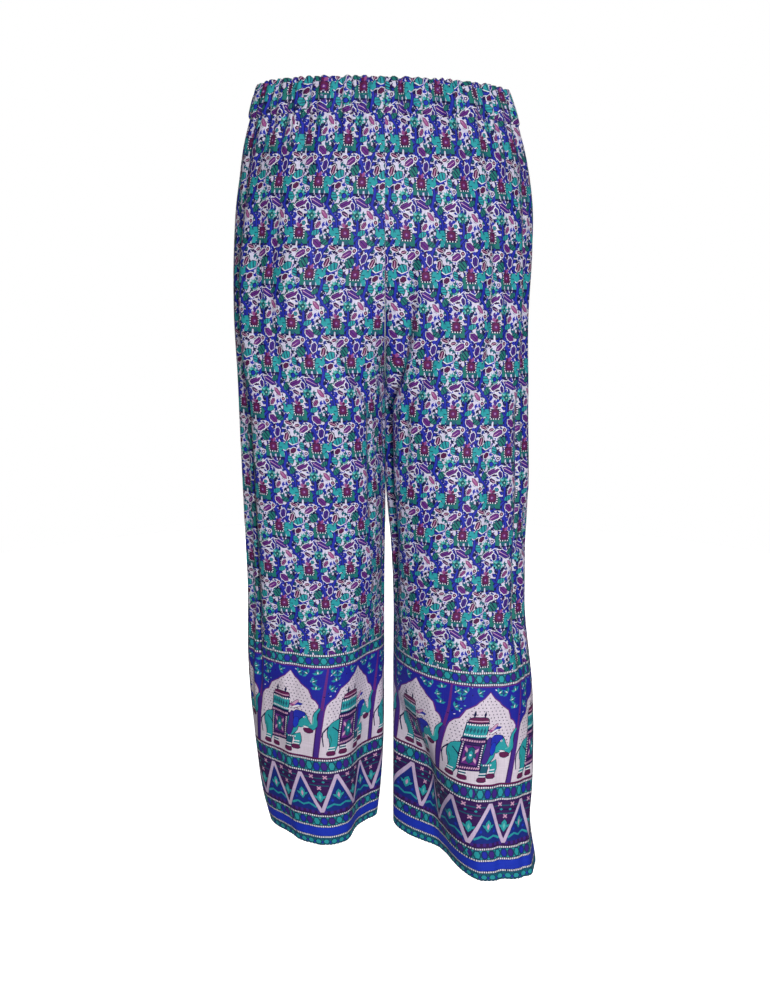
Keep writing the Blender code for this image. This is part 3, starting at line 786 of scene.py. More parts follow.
def zigzag(left, right):
    """The zigzag line, with an ornament in each of its corners."""
    drawn = [(box(left, 46.0, right, 108.0), "plum")]
    half = ARCH_PITCH / 4.0
    first = math.floor(left / half / 2) * 2 - 2
    last = math.ceil(right / half / 2) * 2 + 2
    for number in range(first, last, 2):
        low_x = number * half
        top_x = low_x + half
        drawn += [(np.array(((low_x, 46.0), (low_x + 2 * half, 46.0), (top_x, ZIGZAG_HIGH))), "ink_blue")]
        for y, reach, ink in ((101.0, 18.0, "deep_teal"), (90.0, 13.0, "deep_teal"), (95.5, 14.0, "navy")):
            drawn += [(stroke(((low_x - reach, y), (low_x + reach, y)), 1.6), ink)]
        drawn += sprout(low_x, 65.0, "pale_teal") + sprout(top_x, 67.0, "blush")
        drawn += [(oval(low_x + side * 6.2, 95.5, 4.4, 3.6, 0, 4), "teal") for side in (-1, 1)]
        for x, y in ((low_x, 86.5), (low_x - 9.0, 102.5), (low_x + 9.0, 102.5)):
            for rise in (-1, 1):
                drawn += [(stroke(((x - 2.5, y - 2.2 * rise), (x + 2.5, y + 2.2 * rise)), 1.8), "blush")]
        drawn += [(box(top_x - half, 46.0, top_x + half, 52.0), "plum")]
        drawn += [(oval(top_x + x, 50.2, 5.4, 5.4, 0, 5), "violet") for x in (-20, -12, -4, 4, 12, 20)]
        wave = curve(((top_x - 18, 57), (top_x - 8, 62), (top_x, 58.5), (top_x + 8, 62), (top_x + 18, 57)), 2)
        drawn += [(stroke(wave, 2.6), "teal")]
        drawn += [(oval(top_x + x, 68, 3.8, 4.4, 0, 4), "royal") for x in (-9, 9)]
    line = [(number * half, ZIGZAG_HIGH if number % 2 else ZIGZAG_LOW) for number in range(first, last + 1)]
    for (ax, ay), (bx, by) in zip(line, line[1:]):
        reach = ZIGZAG_LINE / 2
        bar = np.array(((ax - reach, ay), (ax + reach, ay), (bx + reach, by), (bx - reach, by)))
        drawn += [(bar, "lilac")]
    return drawn


def border_elephant():
    """The border's dressed elephant: facing right, feet on y = 0, the middle of its back near x = 0."""
    far_legs = [(stroke(curve(((-10, 24), (-11, 12), (-10, 3)), 2), 8.6, 7.4), "deep_teal"),
                (stroke(curve(((15, 26), (14, 12), (13, 3)), 2), 8.6, 7.6), "deep_teal")]
    barrel = rounded(((-34, 36), (-30, 46), (-14, 50), (8, 50), (22, 46),
                          (26, 34), (18, 23), (0, 19), (-16, 20), (-31, 22)))
    near_parts = [
        (stroke(curve(((-25, 26), (-23, 14), (-26, 3)), 2), 12, 8.4), "teal"),
        (stroke(curve(((24, 26), (27, 16), (24, 8)), 2), 10, 7.6), "teal"),
        (barrel, "teal"),
        (rounded(((19, 56), (31, 58), (37, 51), (37, 42), (30, 36), (22, 38))), "teal"),
        (stroke(curve(((34, 46), (41, 38), (47, 42), (45.5, 51), (46, 59), (50, 66)), 2), 9.0, 2.6), "teal"),
    ]
    drawn = [(stroke(curve(((-33, 40), (-39, 32), (-38, 20), (-36, 12)), 2), 2.2, 1.2), "navy")]
    drawn += outlined(far_legs + near_parts, 0.9)
    drawn += [(stroke(curve(((-28, 40), (-20, 33), (-16, 24)), 2), 1.3), "navy"),
              (stroke(curve(((-31, 30), (-27, 22), (-28, 12)), 2), 1.1), "green"),
              (stroke(curve(((39, 41), (44, 44), (43.5, 54)), 2), 1.3), "pale_teal")]
    for x, y in ((-26, 1.8), (-10, 1.8), (13, 1.8), (24, 6.8)):
        foot = rounded(((x - 5.6, y - 2.6), (x + 6.6, y - 2.6), (x + 5, y + 3.4), (x - 4.6, y + 3.4)))
        drawn += outlined([(foot, "maroon")], 0.6)
        drawn += [(stroke(((x - 4.6, y + rise), (x + 4.8, y + rise)), 1.4), "white") for rise in (4.7, 8.4)]
    # The cloths on its neck and ear, the eye, the tusk and the mouth.
    drawn += outlined([(rounded(((11, 58), (20, 56), (19, 36), (15, 22), (9, 24), (11, 40))), "violet")], 0.7)
    drawn += outlined([(rounded(((16, 60), (31, 59), (33, 54), (27, 50), (23, 43), (17, 47))), "blue")], 0.8)
    drawn += outlined([(rounded(((18, 50), (24, 50), (25, 41), (21, 33), (17, 38))), "royal")], 0.6)
    drawn += dots(13, 24, 21.5, 3.0, 1.8)
    drawn += [(oval(31.5, 51.5, 3.4, 2.6, 0, 6), "white"), (oval(31.9, 51.4, 1.7, 1.7, 0, 4), "navy")]
    drawn += outlined([(leaf(31.5, 38.5, 9.5, 3.6, -14, 6), "white")], 0.5)
    drawn += outlined([(rounded(((32, 36), (42, 37), (47, 33), (40, 29), (34, 31))), "maroon")], 0.6)
    # The cloth at its side.
    cloth = np.array(((-19, 51), (8.5, 51), (8.5, 14), (-17.5, 11)), float)
    drawn += [(grown(cloth, 0.9), "navy"), (cloth, "plum")]
    drawn += [(box(-15.2, 19.5, 5.2, 47.5), "navy"), (box(-14.0, 20.7, 4.0, 46.3), "purple")]
    drawn += outlined([(oval(-5, 33.5, 23, 12, 90, 8, 1.4), "deep_teal")], 0.8)
    drawn += [(oval(-5, 33.5, 13, 5.6, 90, 6, 1.3), "teal"), (oval(-5, 33.5, 3.2, None, 0, 5), "white")]
    for x, y, lean in ((-12.6, 23, 68), (2.6, 23, 112), (-12.6, 44, -68), (2.6, 44, -112)):
        drawn += [(leaf(x, y, 8.5, 3.6, lean, 4), "blush")]
    for number in range(12):
        drawn += [(oval(-17.3 + 0.05 * number, 15.5 + 3.1 * number, 2.4, None, 45, 4), "white"),
                  (oval(6.9, 17.0 + 3.0 * number, 2.4, None, 45, 4), "white")]
    drawn += [(leaf(-16.6 + 2.6 * number, 12.6 + 0.3 * number, 4.0, 2.2, 72, 4), "blush")
              for number in range(10)]
    # The seat on its back with its canopy and finials, and the plume in front.
    drawn += [(box(-21, 49.4, 10.5, 55.6), "navy"), (box(-20.2, 50.2, 9.7, 54.8), "plum")]
    drawn += dots(-18.8, 10, 52.5, 2.9, 2.0, "blush")
    drawn += [(box(-20, 55, 9.0, 76.5), "navy"), (box(-19, 57.4, 8.0, 73), "teal")]
    drawn += dots(-17.8, 8, 59.6, DOT_PITCH, DOT_SIZE) + dots(-17.8, 8, 73.6, DOT_PITCH, DOT_SIZE)
    drawn += [(leaf(x, 62.3, 8.4, 3.6, 90, 4), "deep_teal") for x in np.arange(-16.5, 8, 4.2)]
    canopy = rounded(((-18.5, 76), (8, 76), (6.5, 82), (-1, 83.5), (-10, 83.5), (-16.5, 82)))
    drawn += outlined([(canopy, "maroon")], 0.8)
    drawn += [(stroke(((-17, 78.4), (7, 78.4)), 1.4), "blush")]
    drawn += [(leaf(x, 82, 9.5, 3.6, 90, 4), "navy") for x in (-12.0, 1.0)]
    return drawn + outlined([(leaf(9, 66, 19, 4.6, 12), "blue"), (leaf(10, 64, 16, 4.6, 42), "blush"),
                             (leaf(9, 68, 13, 3.6, -24), "rose"), (leaf(12, 62, 13, 3.4, 24), "white")], 0.6)


BORDER_ELEPHANT = placed(border_elephant(), -4.0, 135.5)


def half_arch(y):
    """How far from its middle the arch's edge is, at one height."""
    edge = np.array(ARCH_EDGE)
    return float(np.interp(y, edge[:, 1], edge[:, 0]))


def arches(left, right):
    """The arches with their pillars, sprinkled tops and elephants."""
    drawn = [(box(left, 129.0, right, ARCH_HIGH), "indigo")]
    edge = np.array(ARCH_EDGE)
    opening = np.concatenate((edge, edge[-2::-1] * (-1, 1)))
    pillar_x = ARCH_PITCH / 2.0
    for number in range(math.floor(left / ARCH_PITCH) - 1, math.ceil(right / ARCH_PITCH) + 2):
        panel = []
        draw = np.random.default_rng(ARCH_SEED)
        for row in range(5):
            y = 206.5 + 10.6 * row
            for x in np.arange(-42, 49, 13.2) + (6.6 if row % 2 else 0.0):
                if abs(x) > half_arch(y - 5.0) + 5.0 and abs(abs(x) - pillar_x) > 5.0:
                    lean = 90 + draw.uniform(-70, 70)
                    for spread in (-62, -30, 0, 30, 62):
                        ink = "deep_teal" if abs(spread) == 30 else "teal"
                        panel.append((leaf(x, y, 7.6, 3.2, lean + spread, 4), ink))
                    panel.append((leaf(x, y, 4.6, 1.8, lean, 4), "white"))
        for _ in range(46):
            x, y = draw.uniform(-48, 48), draw.uniform(202, 256)
            ink = ("white", "pale_teal", "navy")[int(draw.integers(3))]
            lean = draw.uniform(0, 360)
            if abs(x) > half_arch(y - 2.5) + 2.2:
                panel.append((leaf(x, y, 3.2, 1.6, lean, 4), ink))
        panel += [(grown(opening, 1.6), "purple"), (opening, "arch")]
        # The sprinkled dots.
        for row, y in enumerate(np.arange(176.0, 247.0, 4.2)):
            for x in np.arange(-42, 43, 5.2) + (2.6 if row % 2 else 0.0):
                if abs(x) < half_arch(y) - 2.2:
                    dot = oval(x + draw.uniform(-0.4, 0.4), y, 1.9, None, 45, 4)
                    panel.append((dot, ("navy", "plum")[int(draw.integers(2))]))
        for wide, ink in ((PILLAR + 1.6, "plum"), (PILLAR - 1.0, "violet")):
            panel.append((stroke(((pillar_x, 131), (pillar_x, 200)), wide), ink))
        panel.append((stroke(((pillar_x, 199), (pillar_x, ARCH_HIGH)), 4.4, 2.4), "purple"))
        panel += BORDER_ELEPHANT
        for shape, ink in panel:
            lean = (shape[:, 1] - ARCH_LOW) * ARCH_LEAN + number * ARCH_PITCH
            shape = np.stack((shape[:, 0] + lean, shape[:, 1]), axis=1)
            if shape[:, 0].max() > left and shape[:, 0].min() < right:
                drawn.append((shape, ink))
    return drawn + [(box(left, 129.0, right, 131.2), "maroon"),
                    (box(left, ARCH_HIGH - 1.6, right, ARCH_HIGH), "purple")]


def border(left, right):
    """The whole border between two places across the cloth."""
    drawn = hem_bands(left, right) + zigzag(left, right) + arches(left, right)
    for low, high in CHAIN_BANDS:
        drawn += chain_band(left, right, low, high)
    return drawn


# Each repeat is laid out once. Only the lines where its ink changes are kept, snapped to a fine lattice,
# straightened where they hardly bend, and split where they are too long to bend with the cloth.
LATTICE = 0.25
SNAP = 0.25
STRAIGHT_WITHIN = 0.45
STRAIGHT_STEP = 0.15
BENDING_PITCH = 6.0
BORDER_SIZE = (ARCH_PITCH, BORDER_TOP)


def ink_map(drawn, size):
    """Which ink lies at each step of the lattice, the last drawn on top."""
    steps = (round(size[0] / LATTICE), round(size[1] / LATTICE))
    inks = np.zeros(steps, int)
    for shape, ink in drawn:
        low = np.maximum(np.floor(shape.min(axis=0) / LATTICE - 0.5).astype(int), 0)
        high = np.minimum(np.ceil(shape.max(axis=0) / LATTICE + 0.5).astype(int), steps)
        if np.any(high <= low):
            continue
        x = ((np.arange(low[0], high[0]) + 0.5) * LATTICE)[:, None]
        y = ((np.arange(low[1], high[1]) + 0.5) * LATTICE)[None, :]
        inside = np.zeros((high[0] - low[0], high[1] - low[1]), bool)
        for (ax, ay), (bx, by) in zip(shape, np.roll(shape, -1, axis=0)):
            if ay != by:
                inside ^= ((ay > y) != (by > y)) & (x < (bx - ax) * (y - ay) / (by - ay) + ax)
        inks[low[0] : high[0], low[1] : high[1]][inside] = INK_NAMES.index(ink)
    return inks


def ink_lines(drawn, size):
    """The lines of a repeat where its ink changes, as pairs of points."""
    points = [(0.0, 0.0), (size[0], 0.0), size, (0.0, size[1])]
    faces = [[0, 1, 2, 3]]
    inks = [0]
    for shape, ink in drawn:
        faces.append(list(range(len(points), len(points) + len(shape))))
        points += (shape if area_of(shape) > 0.0 else shape[::-1]).tolist()
        inks.append(INK_NAMES.index(ink))
    made = delaunay_2d_cdt(points, [], faces, 1, 1e-3, True)
    steps = np.array([np.round(np.array(size) / SNAP)])
    snapped = np.round(np.array([(point.x, point.y) for point in made[0]]) / size * steps).astype(int)
    beside = {}
    for triangle, under in zip(made[2], made[5]):
        if 0 in under:
            ink = inks[max(under)]
            for a, b in zip(triangle, triangle[1:] + triangle[:1]):
                beside.setdefault((min(a, b), max(a, b)), []).append(ink)
    joined = {}
    for (a, b), pair in beside.items():
        a, b = tuple(snapped[a].tolist()), tuple(snapped[b].tolist())
        if len(pair) == 2 and pair[0] != pair[1] and a != b:
            joined.setdefault(a, set()).add(b)
            joined.setdefault(b, set()).add(a)
    # A point that its line hardly bends at is left out, and so is a line that ends in the open.
    limit = 0.0
    while limit <= STRAIGHT_WITHIN / SNAP:
        left = len(joined)
        for here in list(joined):
            beyond = joined[here]
            edge = here[0] in (0, steps[0, 0]) or here[1] in (0, steps[0, 1])
            if len(beyond) < 2 and not edge:
                for other in beyond:
                    joined[other] = joined[other] - {here}
                del joined[here]
            elif len(beyond) == 2 and not edge:
                a, b = beyond
                way = (b[0] - a[0], b[1] - a[1])
                off = abs(way[0] * (here[1] - a[1]) - way[1] * (here[0] - a[0])) / max(math.hypot(*way), 1e-9)
                if off <= limit:
                    joined[a] = joined[a] - {here} | {b}
                    joined[b] = joined[b] - {here} | {a}
                    del joined[here]
        if len(joined) == left:
            limit += STRAIGHT_STEP
    lines = []
    for a in sorted(joined):
        for b in sorted(joined[a]):
            if a < b:
                parts = math.ceil(math.dist(a, b) * SNAP / BENDING_PITCH)
                stops = np.linspace(a, b, parts + 1)
                lines += zip(stops[:-1], stops[1:])
    return np.array(lines) / steps * size


def laid_out(drawn, size, origin, first, last):
    """A repeat's lines, inks and size, where its first one lies, and the heights it is printed between."""
    return ink_lines(drawn, size), ink_map(drawn, size), size, origin, first, last


PRINT_LOW = -40.0
PRINT_HIGH = 1100.0
REPEATS = (
    laid_out(border(0.0, ARCH_PITCH), BORDER_SIZE, (0.0, 0.0), PRINT_LOW, BORDER_TOP),
    laid_out(field(), FIELD_SIZE, FIELD_ORIGIN, BORDER_TOP, PRINT_HIGH),
)


def print_lines(left, low, right, high):
    """The lines of the ink over a box of flat cloth, as pairs of points in millimetres."""
    found = []
    for lines, _, (wide, tall), (from_x, from_y), first, last in REPEATS:
        rows = range(max(0, math.floor((low - from_y) / tall)), math.ceil((min(high, last) - from_y) / tall))
        for column in range(math.floor((left - from_x) / wide), math.ceil((right - from_x) / wide)):
            for row in rows:
                moved = lines + (column * wide + from_x, row * tall + from_y)
                middle = moved.mean(axis=1)
                kept = (middle[:, 1] > max(low, first)) & (middle[:, 1] < min(high, last))
                kept &= (middle[:, 0] > left) & (middle[:, 0] < right)
                found.append(moved[kept])
    return np.concatenate(found)


def print_inks(places):
    """The ink at some places of the flat cloth, in millimetres. Under the hem's edge it is the edge's own."""
    inks = np.zeros(len(places), int)
    for _, under, size, origin, first, last in REPEATS:
        here = (places[:, 1] >= first) & (places[:, 1] < last)
        x = np.mod(places[here, 0] - origin[0], size[0]) / LATTICE
        y = np.mod(np.maximum(places[here, 1], 0.1) - origin[1], size[1]) / LATTICE
        last_x, last_y = under.shape[0] - 1, under.shape[1] - 1
        inks[here] = under[np.minimum(x.astype(int), last_x), np.minimum(y.astype(int), last_y)]
    return inks


# ----------------------------------------------------------------------------------------------------------
# The panels. Each is cut from the printed cloth, with its border at the hem. They are one layer of plain
# woven rayon challis, about 0.3 mm thick in truth and drawn as 1.2 mm here and 0.8 mm where it is folded.
# Plain seams join them and draw the cloth in a little.

# How wide a panel is cut across the hips. The casing gathers this width in.
HIP_CUT = {"front": 0.262, "back": 0.272}
NET_PITCH = 5.0
CLOSE_NET_PITCH = 3.0
CLOSE_NET_BELOW_TOP = 75.0
# The folds run down, so the back needs its points close across and wide apart down, but for the crotch.
INNER_NET_PITCHES = (2.8, 15.0)
CROTCH_NET_PITCHES = (3.4, 4.0)
CROTCH_DROPS = (0.395, 0.290)
EDGE_PITCH = 4.0
BOTTOM_POINTS = 76
TOP_POINTS = 131
TO_MM = 1000.0

# Where each panel is laid on the printed length: the place of its side seam, and which way its cloth runs
# from it.
LAID = {
    ("front", "right"): (92.8, 1.0),
    ("front", "left"): (45.4, -1.0),
    ("back", "right"): (60.0, -1.0),
    ("back", "left"): (40.0, 1.0),
}


def edge_loop(triangles):
    """The points round the edge of a cut piece, in order."""
    edges = np.concatenate((triangles[:, (0, 1)], triangles[:, (1, 2)], triangles[:, (2, 0)])).tolist()
    have = set(map(tuple, edges))
    after = {a: b for a, b in have if (b, a) not in have}
    loop = [min(after)]
    while after[loop[-1]] != loop[0]:
        loop.append(after[loop[-1]])
    if len(loop) != len(after):
        raise ValueError(f"a cut piece has {len(after)} edges and a loop of {len(loop)}")
    return np.array(loop)


def cut_out(outline, lines, filling, pitch):
    """Flat cloth cut to an outline, with the ink's lines in it: points and triangles."""
    count = len(outline)
    edges = [(number, (number + 1) % count) for number in range(count)]
    ends, numbers = np.unique(np.round(lines.reshape(-1, 2), 3), axis=0, return_inverse=True)
    edges += (numbers.reshape(-1, 2) + count).tolist()
    # The net's points are only needed where the ink leaves the cloth open.
    taken = set(map(tuple, np.floor(ends / pitch).astype(int).tolist()))
    open_cloth = [tuple(cell) not in taken for cell in np.floor(filling / pitch).astype(int).tolist()]
    points = np.concatenate((outline, ends, filling[open_cloth]))
    made = delaunay_2d_cdt(points.tolist(), edges, [list(range(count))], 1, 1e-3, True)
    flat = np.array([(point.x, point.y) for point in made[0]])
    triangles = np.array([triangle for triangle, under in zip(made[2], made[5]) if under])
    used, triangles = np.unique(triangles, return_inverse=True)
    return flat[used], triangles.reshape(-1, 3)


def filling_points(left, low, right, high, pitch, row_pitch=None):
    """A net of points between the ink's lines, for the cloth to bend at, with every other row offset."""
    row_pitch = row_pitch or pitch * 0.87
    rows = np.arange(low + row_pitch / 2, high, row_pitch)
    columns = np.arange(left, right, pitch)
    x = columns[None, :] + np.where(np.arange(len(rows)) % 2, pitch / 2, 0.0)[:, None]
    return np.stack((x.ravel(), np.repeat(rows, len(columns))), axis=1)


def thin_cloth(name, flat, triangles, carry, inner_filling, thickness=CLOTH):
    """A closed thin piece of cloth: the printed face, the plain back its thickness in, and the rim."""
    loop = edge_loop(triangles)
    count = len(loop)
    points = np.concatenate((flat[loop], inner_filling))
    ring = [(number, (number + 1) % count) for number in range(count)]
    made = delaunay_2d_cdt(points.tolist(), ring, [list(range(count))], 1, 1e-5, True)
    back_flat = np.array([(point.x, point.y) for point in made[0]])
    back = np.array([triangle for triangle, under in zip(made[2], made[5]) if under])
    place = {own: number for number, owners in enumerate(made[3]) for own in owners if own < count}
    rim = np.array([place[number] for number in range(count)])
    face_at, face_out = carry(flat)
    back_at, back_out = carry(back_flat)
    back_at = back_at - back_out * thickness
    start = len(flat)
    after = np.roll(np.arange(count), -1)
    rim_one = np.stack((loop[after], loop, rim + start), axis=1)
    rim_two = np.stack((loop[after], rim + start, rim[after] + start), axis=1)
    used = np.concatenate((triangles, back[:, ::-1] + start, rim_one, rim_two))
    numbers, faces = np.unique(used, return_inverse=True)
    faces = faces.reshape(-1, 3)
    points = np.concatenate((face_at, back_at))[numbers]
    outward = np.concatenate((face_out, -back_out))[numbers]
    laid = np.concatenate((flat, back_flat))[numbers] / TO_MM
    ink = np.full(len(used), INK_NAMES.index("wrong_side"))
    ink[: len(triangles)] = print_inks(flat[triangles].mean(axis=1))
    # The whole rim round each piece is given the dark navy ink: painted shade, standing for the shadow that
    # lies along the seams.
    ink[-2 * count :] = INK_NAMES.index("navy")
    data = bpy.data.meshes.new(name)
    data.from_pydata(points.tolist(), [], faces.tolist())
    colours = np.array([linear(INKS[ink_name]) for ink_name in INK_NAMES])[ink]
    attribute = data.color_attributes.new("ink", "FLOAT_COLOR", "CORNER")
    attribute.data.foreach_set("color", np.repeat(colours, 3, axis=0).ravel())
    uv = data.uv_layers.new(name="flat_cloth")
    uv.data.foreach_set("uv", laid[faces].ravel())
    normals = outward[faces]
    edge = np.arange(len(faces)) >= len(faces) - 2 * count
    corner = points[faces[edge]]
    across = np.cross(corner[:, 1] - corner[:, 0], corner[:, 2] - corner[:, 0])
    across = across / np.maximum(np.linalg.norm(across, axis=1, keepdims=True), 1e-12)
    normals[edge] = across[:, None, :]
    data.shade_smooth()
    data.normals_split_custom_set(normals.reshape(-1, 3).tolist())
    thing = bpy.data.objects.new(name, data)
    bpy.context.scene.collection.objects.link(thing)
    return thing


def linear(code):
    """A colour's hex code as the linear values that a material takes."""
    parts = [int(code[at : at + 2], 16) / 255.0 for at in (1, 3, 5)]
    return [part / 12.92 if part <= 0.04045 else ((part + 0.055) / 1.055) ** 2.4 for part in parts] + [1.0]


def add_node(tree, kind, settings=None, links=None):
    """One node with its settings, and its inputs set to values or linked to other nodes' outputs."""
    node = tree.nodes.new(kind)
    for name, value in (settings or {}).items():
        setattr(node, name, value)
    for name, value in (links or {}).items():
        if isinstance(value, bpy.types.NodeSocket):
            tree.links.new(value, node.inputs[name])
        else:
            node.inputs[name].default_value = value
    return node


def printed_rayon():
    """Rayon challis, screen printed: soft, matt, with a faint sheen, a fine plain weave and uneven yarns.

    Its yarns lie 0.35 mm apart. The weave is drawn twice as coarse, so that it shows at all.
    """
    material = bpy.data.materials.new("printed_rayon_challis")
    material.use_nodes = True
    tree = material.node_tree
    shader = tree.nodes["Principled BSDF"]
    ink = add_node(tree, "ShaderNodeAttribute", {"attribute_name": "ink"})
    laid = add_node(tree, "ShaderNodeUVMap", {"uv_map": "flat_cloth"})
    yarn_pitch = 0.0007
    slub_length = 0.025
    slubs = []
    for scale in ((1.0 / yarn_pitch, 1.0 / slub_length, 1.0), (1.0 / slub_length, 1.0 / yarn_pitch, 1.0)):
        way = add_node(tree, "ShaderNodeMapping", None, {"Vector": laid.outputs["UV"], "Scale": scale})
        slubs.append(add_node(tree, "ShaderNodeTexNoise", {"noise_dimensions": "2D"},
                              {"Vector": way.outputs["Vector"], "Scale": 1.0, "Detail": 1.0}))
    both = add_node(tree, "ShaderNodeMath", {"operation": "ADD"},
                    {0: slubs[0].outputs[0], 1: slubs[1].outputs[0]})
    shade = add_node(tree, "ShaderNodeMapRange", None, {"Value": both.outputs[0], "From Min": 0.6,
                                                        "From Max": 1.4, "To Min": 0.84, "To Max": 1.10})
    tinted = add_node(tree, "ShaderNodeMix", {"data_type": "RGBA", "blend_type": "MULTIPLY"}, {0: 1.0})
    tree.links.new(ink.outputs["Color"], tinted.inputs[6])
    tree.links.new(shade.outputs["Result"], tinted.inputs[7])
    tree.links.new(tinted.outputs[2], shader.inputs["Base Color"])
    bump = add_node(tree, "ShaderNodeBump", None,
                    {"Strength": 0.25, "Distance": 0.0002, "Height": both.outputs[0]})
    tree.links.new(bump.outputs["Normal"], shader.inputs["Normal"])
    shader.inputs["Metallic"].default_value = 0.0
    shader.inputs["Roughness"].default_value = 0.66
    shader.inputs["IOR"].default_value = 1.47
    shader.inputs["Specular IOR Level"].default_value = 0.25
    shader.inputs["Sheen Weight"].default_value = 0.04
    shader.inputs["Sheen Roughness"].default_value = 0.4
    return material


PRINTED_RAYON = printed_rayon()


def row_width(side, leg, drop):
    """How wide the panel's cloth is at a drop, laid flat. Above the hips it is gathered in to less."""
    return np.maximum(np.interp(drop, NET_DROPS, NETS[leg][side][2]), HIP_CUT[side])


def carry_panel(side, leg):
    """How a panel's flat places, in millimetres, go onto the worn form."""
    start, run = LAID[side, leg]

    def carry(flat):
        drop = HEM_DROP - flat[:, 1] / TO_MM
        from_side = (flat[:, 0] - start) * run / TO_MM
        row = np.interp(drop, NET_DROPS, np.arange(len(NET_DROPS)))
        part = 1.0 - from_side / row_width(side, leg, drop)
        return on_net(*NETS[leg][side][:2], row, part * (len(NET_PARTS) - 1))

    return carry


def make_panel(side, leg):
    start, run = LAID[side, leg]
    low = (HEM_DEPTH + SEAM_GAP) * TO_MM
    high = (HEM_DROP - CASING_HEIGHT - SEAM_GAP) * TO_MM
    heights = np.linspace(low, high, round((high - low) / EDGE_PITCH) + 1)
    drops = HEM_DROP - heights / TO_MM
    near = np.full(len(heights), start + run * SEAM_GAP / 2 * TO_MM)
    far = start + run * (row_width(side, leg, drops) - SEAM_GAP / 2) * TO_MM
    left, right = (near, far) if run > 0.0 else (far, near)
    bottom = np.linspace(left[0], right[0], BOTTOM_POINTS)[1:-1]
    top = np.linspace(left[-1], right[-1], TOP_POINTS)[1:-1]
    outline = np.concatenate((
        np.stack((bottom, np.full(len(bottom), low)), axis=1),
        np.stack((right, heights), axis=1),
        np.stack((top[::-1], np.full(len(top), high)), axis=1),
        np.stack((left[::-1], heights[::-1]), axis=1),
    ))
    lines = print_lines(left.min(), low, right.max(), high)
    close_from = high - CLOSE_NET_BELOW_TOP
    filling = np.concatenate((
        filling_points(left.min(), low, right.max(), close_from, NET_PITCH),
        filling_points(left.min(), close_from, right.max(), high, CLOSE_NET_PITCH),
    ))
    flat, triangles = cut_out(outline, lines, filling, CLOSE_NET_PITCH)
    inner_low, inner_high = ((HEM_DROP - drop) * TO_MM for drop in CROTCH_DROPS)
    inner_filling = np.concatenate((
        filling_points(left.min(), low, right.max(), inner_low, *INNER_NET_PITCHES),
        filling_points(left.min(), inner_low, right.max(), inner_high, *CROTCH_NET_PITCHES),
        filling_points(left.min(), inner_high, right.max(), high, *INNER_NET_PITCHES),
    ))
    panel = thin_cloth(f"{side}_panel_cloth_{leg}_leg", flat, triangles, carry_panel(side, leg),
                       inner_filling, PANEL_CLOTH)
    panel.data.materials.append(PRINTED_RAYON)
    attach(panel, "root")
    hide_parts(f"{side}_panel_{leg}_leg")


for leg in ("right", "left"):
    for side in ("front", "back"):
        make_panel(side, leg)


# ----------------------------------------------------------------------------------------------------------
# The waist casing: a strip of the same cloth, folded over a wide elastic and sewn to the panels' tops. The
# elastic draws it in, so that it stands out in close, uneven gathers, which run on into the panels below.

CASING_WALL = 0.0036
CASING_BULGE = 0.0016
# How much of the bulge there is at three levels, from the top edge at 0 to the lower edge at 1.
CASING_LEVELS = ((0.0, 0.2), (0.45, 1.0), (1.0, 0.4))
GATHER_HEIGHT = 0.0017
GATHER_SHARE_INSIDE = 0.35
GATHER_SHARE_UP = 0.50
SEAM_FLAT = 0.035
EDGE_ROUND = 0.08
EDGE_SHARE = 0.25
TOP_LEVEL = 0.05
TOP_RISE = 0.0018
TOP_REACH = 0.3
INSIDE_END = 0.96
CASING_PRINT_FROM = 357.6
CASING_NET_PITCH = 3.0
CASING_EDGE_PITCHES = (2.5, 3.5)
ELASTIC_STEPS = 267


def all_round(leg_rows):
    """The whole waist's row from its four quarters, from the middle of the back round the wearer's right."""
    right, left = leg_rows
    half = (len(right) + 1) // 2
    return np.concatenate((right[half - 1 :][::-1], right[: half - 1][::-1], left[:half], left[half:]))


def outward(ring):
    """The level outward direction along a row that runs anticlockwise, seen from above."""
    way = np.gradient(ring, axis=0)
    out = np.stack((way[:, 1], -way[:, 0], np.zeros(len(ring))), axis=1)
    return out / np.linalg.norm(out, axis=1, keepdims=True)


def folded_net(rows):
    """A net from its rows: its points, the ways its face looks, and each row's distance from the first."""
    points = np.array(rows)
    normal = np.cross(np.gradient(points, axis=1), np.gradient(points, axis=0))
    normal = normal / np.linalg.norm(normal, axis=2, keepdims=True)
    steps = np.linalg.norm(np.diff(points, axis=0), axis=2).mean(axis=1)
    return points, normal, np.concatenate(([0.0], np.cumsum(steps))) * TO_MM


